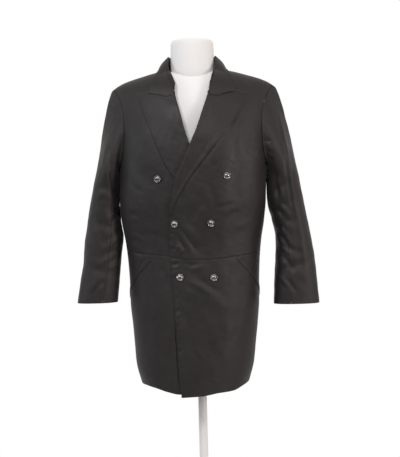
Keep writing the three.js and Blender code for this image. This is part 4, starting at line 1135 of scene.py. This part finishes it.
# The form closes over by the same dome as the coat, just under its shoulder seam.
def formPoint(angle, turn, z):
    s, c = np.sin(np.radians(angle)), np.cos(np.radians(angle))
    squash = lambda value: np.sign(value) * np.abs(value) ** (2 / 2.15)
    deep = np.where(c > 0, follow(formTable, "z", "front")(z), follow(formTable, "z", "back")(z))
    half = lerp(follow(formTable, "z", "half")(z), formSettings["half"], smoothstep(0, 1, turn))
    x = lerp(-4, shoulderCentre, turn) * smoothstep(835, armpitZ, z) + half * squash(s)
    sink = np.maximum(np.cos(turn * np.pi / 2), 0) ** (2 / dome)
    rise = np.sin(turn * np.pi / 2) ** (2 / dome)
    away = np.abs(x - shoulderCentre)
    top = shoulderZ(away) - clothThick - formSettings["clear"] - 2 * (1 - smoothstep(82, 112, away))
    y = lerp(np.where(turn > 0, shoulderY, 0), -deep * squash(c), sink)
    return np.stack([x, y, z + (top - z) * rise], -1)


# The torso's rings closed at the bottom by a fan, and the neck turned about its own axis.
def makeForm():
    around = formSettings["around"]
    angle = np.linspace(0, 360, around, endpoint=False)[None, :]
    low = np.linspace(formSettings["bottom"], armpitZ, 60)[:, None]
    turn = np.linspace(0, 1, 60)[1:, None] ** 0.8
    points = np.concatenate([
        formPoint(angle, 0 * low, low),
        formPoint(angle, turn, armpitZ + 0 * turn),
    ])
    rows = len(points)
    index = np.arange(rows * around).reshape(rows, around)
    after = np.roll(index, -1, 1)
    quads = np.stack([index[:-1], after[:-1], after[1:], index[1:]], -1).reshape(-1, 4)
    foot = np.stack([np.full(around, rows * around), after[0], index[0]], -1)
    points = np.concatenate([points.reshape(-1, 3), [[0, 0, formSettings["bottom"]]]])
    rings = [(0, 1380), (53, 1380), (53.5, 1446), (53.5, 1462), (53, 1480), (52.4, 1510), (52, 1521)]
    rings += [(51.2, 1525), (50, 1528), (48, 1529.6), (45, 1530), (0, 1530)]
    neckPoints, neckQuads, neckFans = latheMesh(rings, formSettings["neckSides"], (0, 0, 0), (0, 0, 1))
    neckPoints = neckPoints * [formSettings["neckWidening"], 1, 1] + [formSettings["neckX"], shoulderY, 0]
    shift = len(points)
    points = np.concatenate([points, neckPoints])
    groups = [quads, foot, neckQuads + shift, neckFans + shift]
    pieces["form_torso"] = makeObject("form_torso", points, groups)


makeForm()
standProfiles = {
    "form_ferrule": [
        (0, 655), (15, 655), (16.6, 655.6), (17.2, 657), (19, 680), (20.6, 690), (21, 692), (21, 699),
        (20.6, 699.7), (0, 699.7),
    ],
    "stand_pole": [(0, 60.3), (12, 60.3), (12.5, 60.8), (12.5, 654.2), (12, 654.7), (0, 654.7)],
    "stand_base": [
        (0, 0), (173.5, 0), (174.6, 0.4), (175, 1.4), (175, 5.6), (174.4, 7.2), (172.4, 8), (140, 10),
        (87.5, 14), (40, 15.6), (29, 16.2), (24.6, 17.6), (22.4, 21), (21.6, 28), (19, 57.6), (18.4, 59.2),
        (17, 60), (0, 60),
    ],
}
standSides = 128
for name, profile in standProfiles.items():
    pieces[name] = latheObject(name, profile, standSides, (0, 0, 0), (0, 0, 1))
print("form and stand made")


# Short calls that add a node to a tree and join two sockets.
class Build:
    def __init__(self, tree):
        self.tree = tree

    def add(self, kind, **settings):
        node = self.tree.nodes.new(kind)
        for key, value in settings.items():
            setattr(node, key, value)
        return node

    def link(self, start, end):
        self.tree.links.new(start, end)


clothNoise = {"mottle": 9, "mottleDetail": 5, "crumple": 42, "crumpleDetail": 4, "twillTurn": 38}


# Shared cloth values: a mottle, a fine crumple, and a twill's height from the piece's own flat coordinates.
def clothGroup():
    group = bpy.data.node_groups.new("clothValues", "ShaderNodeTree")
    group.interface.new_socket("Scale", in_out="INPUT", socket_type="NodeSocketFloat")
    for name in ("Mottle", "Weave", "Crumple"):
        group.interface.new_socket(name, in_out="OUTPUT", socket_type="NodeSocketFloat")
    build = Build(group)
    source = build.add("NodeGroupInput")
    out = build.add("NodeGroupOutput")
    place = build.add("ShaderNodeTexCoord")
    cloth = build.add("ShaderNodeUVMap", uv_map="cloth")
    mottle = build.add("ShaderNodeTexNoise")
    mottle.inputs["Scale"].default_value = clothNoise["mottle"]
    mottle.inputs["Detail"].default_value = clothNoise["mottleDetail"]
    build.link(place.outputs["Object"], mottle.inputs["Vector"])
    build.link(mottle.outputs["Fac"], out.inputs["Mottle"])
    crumple = build.add("ShaderNodeTexNoise")
    crumple.inputs["Scale"].default_value = clothNoise["crumple"]
    crumple.inputs["Detail"].default_value = clothNoise["crumpleDetail"]
    crumple.inputs["Roughness"].default_value = 0.55
    build.link(place.outputs["Object"], crumple.inputs["Vector"])
    build.link(crumple.outputs["Fac"], out.inputs["Crumple"])
    turned = build.add("ShaderNodeMapping")
    turned.inputs["Rotation"].default_value = (0, 0, math.radians(clothNoise["twillTurn"]))
    build.link(cloth.outputs["UV"], turned.inputs["Vector"])
    twill = build.add("ShaderNodeTexWave", wave_type="BANDS", bands_direction="X")
    twill.inputs["Distortion"].default_value = 1.2
    twill.inputs["Detail"].default_value = 2
    build.link(turned.outputs["Vector"], twill.inputs["Vector"])
    build.link(source.outputs["Scale"], twill.inputs["Scale"])
    build.link(twill.outputs["Fac"], out.inputs["Weave"])
    return group


clothValues = clothGroup()


# A principled surface whose colour and roughness wander between two values with the mottle.
def clothMaterial(name, look):
    material = bpy.data.materials.new(name)
    material.use_nodes = True
    build = Build(material.node_tree)
    shader = material.node_tree.nodes["Principled BSDF"]
    values = build.add("ShaderNodeGroup", node_tree=clothValues)
    values.inputs["Scale"].default_value = look["threads"]
    colour = build.add("ShaderNodeMix", data_type="RGBA")
    colour.inputs["A"].default_value = (*look["dark"], 1)
    colour.inputs["B"].default_value = (*look["light"], 1)
    build.link(values.outputs["Mottle"], colour.inputs["Factor"])
    build.link(colour.outputs["Result"], shader.inputs["Base Color"])
    rough = build.add("ShaderNodeMapRange")
    rough.inputs["From Min"].default_value = 0.3
    rough.inputs["From Max"].default_value = 0.7
    rough.inputs["To Min"].default_value = look["rough"][0]
    rough.inputs["To Max"].default_value = look["rough"][1]
    build.link(values.outputs["Mottle"], rough.inputs["Value"])
    build.link(rough.outputs["Result"], shader.inputs["Roughness"])
    weave = build.add("ShaderNodeBump")
    weave.inputs["Strength"].default_value = look["weave"]
    weave.inputs["Distance"].default_value = 0.0002
    build.link(values.outputs["Weave"], weave.inputs["Height"])
    crumple = build.add("ShaderNodeBump")
    crumple.inputs["Strength"].default_value = look["crumple"]
    crumple.inputs["Distance"].default_value = 0.0012
    build.link(values.outputs["Crumple"], crumple.inputs["Height"])
    build.link(weave.outputs["Normal"], crumple.inputs["Normal"])
    build.link(crumple.outputs["Normal"], shader.inputs["Normal"])
    shader.inputs["Specular IOR Level"].default_value = look["specular"]
    shader.inputs["Sheen Weight"].default_value = look["sheen"]
    shader.inputs["Sheen Roughness"].default_value = 0.45
    return material


satin = clothMaterial("coatSatin", {
    "dark": (0.0108, 0.0092, 0.0091), "light": (0.018, 0.0152, 0.015), "rough": (0.46, 0.6),
    "weave": 0.25, "threads": 900, "crumple": 0.3, "specular": 0.38, "sheen": 0.05,
})
jersey = clothMaterial("formJersey", {
    "dark": (0.84, 0.835, 0.83), "light": (0.9, 0.895, 0.89), "rough": (0.8, 0.9),
    "weave": 0.15, "threads": 700, "crumple": 0.05, "specular": 0.3, "sheen": 0.1,
})


# A metal, paint or thread whose colour, roughness and fine dents follow one noise.
def hardMaterial(name, look):
    material = bpy.data.materials.new(name)
    material.use_nodes = True
    build = Build(material.node_tree)
    shader = material.node_tree.nodes["Principled BSDF"]
    place = build.add("ShaderNodeTexCoord")
    wear = build.add("ShaderNodeTexNoise")
    wear.inputs["Scale"].default_value = look["scale"]
    wear.inputs["Detail"].default_value = 6
    build.link(place.outputs["Object"], wear.inputs["Vector"])
    colour = build.add("ShaderNodeMix", data_type="RGBA")
    colour.inputs["A"].default_value = (*look["dark"], 1)
    colour.inputs["B"].default_value = (*look["light"], 1)
    build.link(wear.outputs["Fac"], colour.inputs["Factor"])
    build.link(colour.outputs["Result"], shader.inputs["Base Color"])
    rough = build.add("ShaderNodeMapRange")
    rough.inputs["To Min"].default_value = look["rough"][0]
    rough.inputs["To Max"].default_value = look["rough"][1]
    build.link(wear.outputs["Fac"], rough.inputs["Value"])
    build.link(rough.outputs["Result"], shader.inputs["Roughness"])
    bump = build.add("ShaderNodeBump")
    bump.inputs["Strength"].default_value = look["bump"]
    bump.inputs["Distance"].default_value = 0.0003
    build.link(wear.outputs["Fac"], bump.inputs["Height"])
    build.link(bump.outputs["Normal"], shader.inputs["Normal"])
    shader.inputs["Metallic"].default_value = look["metal"]
    return material


silver = hardMaterial("buttonSilver", {
    "dark": (0.15, 0.145, 0.14), "light": (0.36, 0.35, 0.335), "rough": (0.16, 0.3),
    "scale": 160, "bump": 0.2, "metal": 1,
})
paint = hardMaterial("standPaint", {
    "dark": (0.72, 0.72, 0.71), "light": (0.8, 0.8, 0.79), "rough": (0.32, 0.45),
    "scale": 30, "bump": 0.05, "metal": 0,
})
thread = hardMaterial("thread", {
    "dark": (0.012, 0.011, 0.011), "light": (0.022, 0.02, 0.02), "rough": (0.5, 0.7),
    "scale": 300, "bump": 0.1, "metal": 0,
})

slots = {"button": ("button_silver", silver), "form_torso": ("form_cloth", jersey)}
slots["stitches"] = ("coat_satin", thread)
slots.update(dict.fromkeys(["form_ferrule", "stand_pole", "stand_base"], ("stand_paint", paint)))
for name, piece in pieces.items():
    cloth = slots["button"] if name.startswith("button") else ("coat_satin", satin)
    slotName, material = slots.get(name, cloth)
    piece.data.materials.clear()
    piece.data.materials.append(material)
    if name != "stitches":
        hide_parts(name)
    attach(piece, "root")
print("materials set")

bpy.context.scene.view_settings.view_transform = "Standard"

studio = {
    "shown": 1.0, "below": 0.17, "above": 0.56, "behind": 0.5, "floor": 0.86, "floorRadius": 1.18,
    "floorSides": 96,
}


# A white studio: the camera sees plain white, and the light on the coat comes mostly from above and behind.
def makeWorld():
    world = bpy.data.worlds.new("studio")
    world.use_nodes = True
    bpy.context.scene.world = world
    build = Build(world.node_tree)
    shown = world.node_tree.nodes["Background"]
    shown.inputs["Color"].default_value = (1, 1, 1, 1)
    shown.inputs["Strength"].default_value = studio["shown"]
    lit = build.add("ShaderNodeBackground")
    lit.inputs["Color"].default_value = (1, 0.93, 0.925, 1)
    way = build.add("ShaderNodeTexCoord")
    parts = build.add("ShaderNodeSeparateXYZ")
    build.link(way.outputs["Generated"], parts.inputs["Vector"])
    total = build.add("ShaderNodeMath", operation="ADD")
    ranges = [("Z", -0.3, 0.9, studio["below"], studio["above"]), ("Y", -0.2, 0.8, 0, studio["behind"])]
    for slot, (axis, start, end, low, high) in enumerate(ranges):
        strength = build.add("ShaderNodeMapRange", interpolation_type="SMOOTHSTEP")
        strength.inputs["From Min"].default_value = start
        strength.inputs["From Max"].default_value = end
        strength.inputs["To Min"].default_value = low
        strength.inputs["To Max"].default_value = high
        build.link(parts.outputs[axis], strength.inputs["Value"])
        build.link(strength.outputs["Result"], total.inputs[slot])
    build.link(total.outputs["Value"], lit.inputs["Strength"])
    ray = build.add("ShaderNodeLightPath")
    mix = build.add("ShaderNodeMixShader")
    build.link(ray.outputs["Is Camera Ray"], mix.inputs["Fac"])
    build.link(lit.outputs["Background"], mix.inputs[1])
    build.link(shown.outputs["Background"], mix.inputs[2])
    build.link(mix.outputs["Shader"], world.node_tree.nodes["World Output"].inputs["Surface"])


makeWorld()


def makeFloor():
    turn = np.linspace(0, 2 * np.pi, studio["floorSides"], endpoint=False)
    radius = studio["floorRadius"]
    corners = np.stack([radius * np.cos(turn), radius * np.sin(turn), 0 * turn], -1)
    mesh = bpy.data.meshes.new("floor")
    mesh.from_pydata(corners.tolist(), [], [tuple(range(len(turn)))])
    floor = bpy.data.objects.new("floor", mesh)
    bpy.context.scene.collection.objects.link(floor)
    material = bpy.data.materials.new("floor")
    material.use_nodes = True
    shader = material.node_tree.nodes["Principled BSDF"]
    shader.inputs["Base Color"].default_value = (*[studio["floor"]] * 3, 1)
    shader.inputs["Roughness"].default_value = 0.8
    mesh.materials.append(material)


makeFloor()


def softbox(name, place, target, size, power, colour):
    light = bpy.data.lights.new(name, "AREA")
    light.shape = "RECTANGLE"
    light.size, light.size_y = size
    light.energy = power
    light.color = colour
    made = bpy.data.objects.new(name, light)
    way = Vector(target) - Vector(place)
    made.matrix_world = Matrix.Translation(place) @ way.to_track_quat("-Z", "Y").to_matrix().to_4x4()
    bpy.context.scene.collection.objects.link(made)


# Place, the place it faces, size, power in watts and colour.
lights = {
    "leftBox": ((-2.7, -1.0, 1.8), (0, 0, 1.05), (0.7, 1.6), 16, (0.88, 0.96, 1.0)),
    "rightBox": ((2.7, -1.9, 1.5), (0, 0, 1.0), (0.6, 1.6), 38, (1.0, 0.92, 0.85)),
    "keyBox": ((-1.2, -2.5, 3.0), (0, 0, 1.1), (0.7, 0.7), 34, (0.97, 0.98, 1.0)),
    "frontBox": ((0.7, -3.0, 2.8), (0, 0, 1.15), (1.8, 1.2), 22, (1.0, 0.97, 0.95)),
}
for name, look in lights.items():
    softbox(name, *look)

# The camera looks along +Y, level, and is turned a little about its own axis.
cameraSettings = {"place": (0.0055, -2.6, 0.985), "lens": 70.6, "sensor": 36, "roll": -1.5, "end": 50}
cameraData = bpy.data.cameras.new("camera")
cameraData.lens = cameraSettings["lens"]
cameraData.sensor_width = cameraSettings["sensor"]
cameraData.clip_end = cameraSettings["end"]
camera = bpy.data.objects.new("camera", cameraData)
camera.matrix_world = (
    Matrix.Translation(cameraSettings["place"]) @ Matrix.Rotation(math.radians(90), 4, "X")
    @ Matrix.Rotation(math.radians(cameraSettings["roll"]), 4, "Z")
)
bpy.context.scene.collection.objects.link(camera)
bpy.context.scene.camera = camera
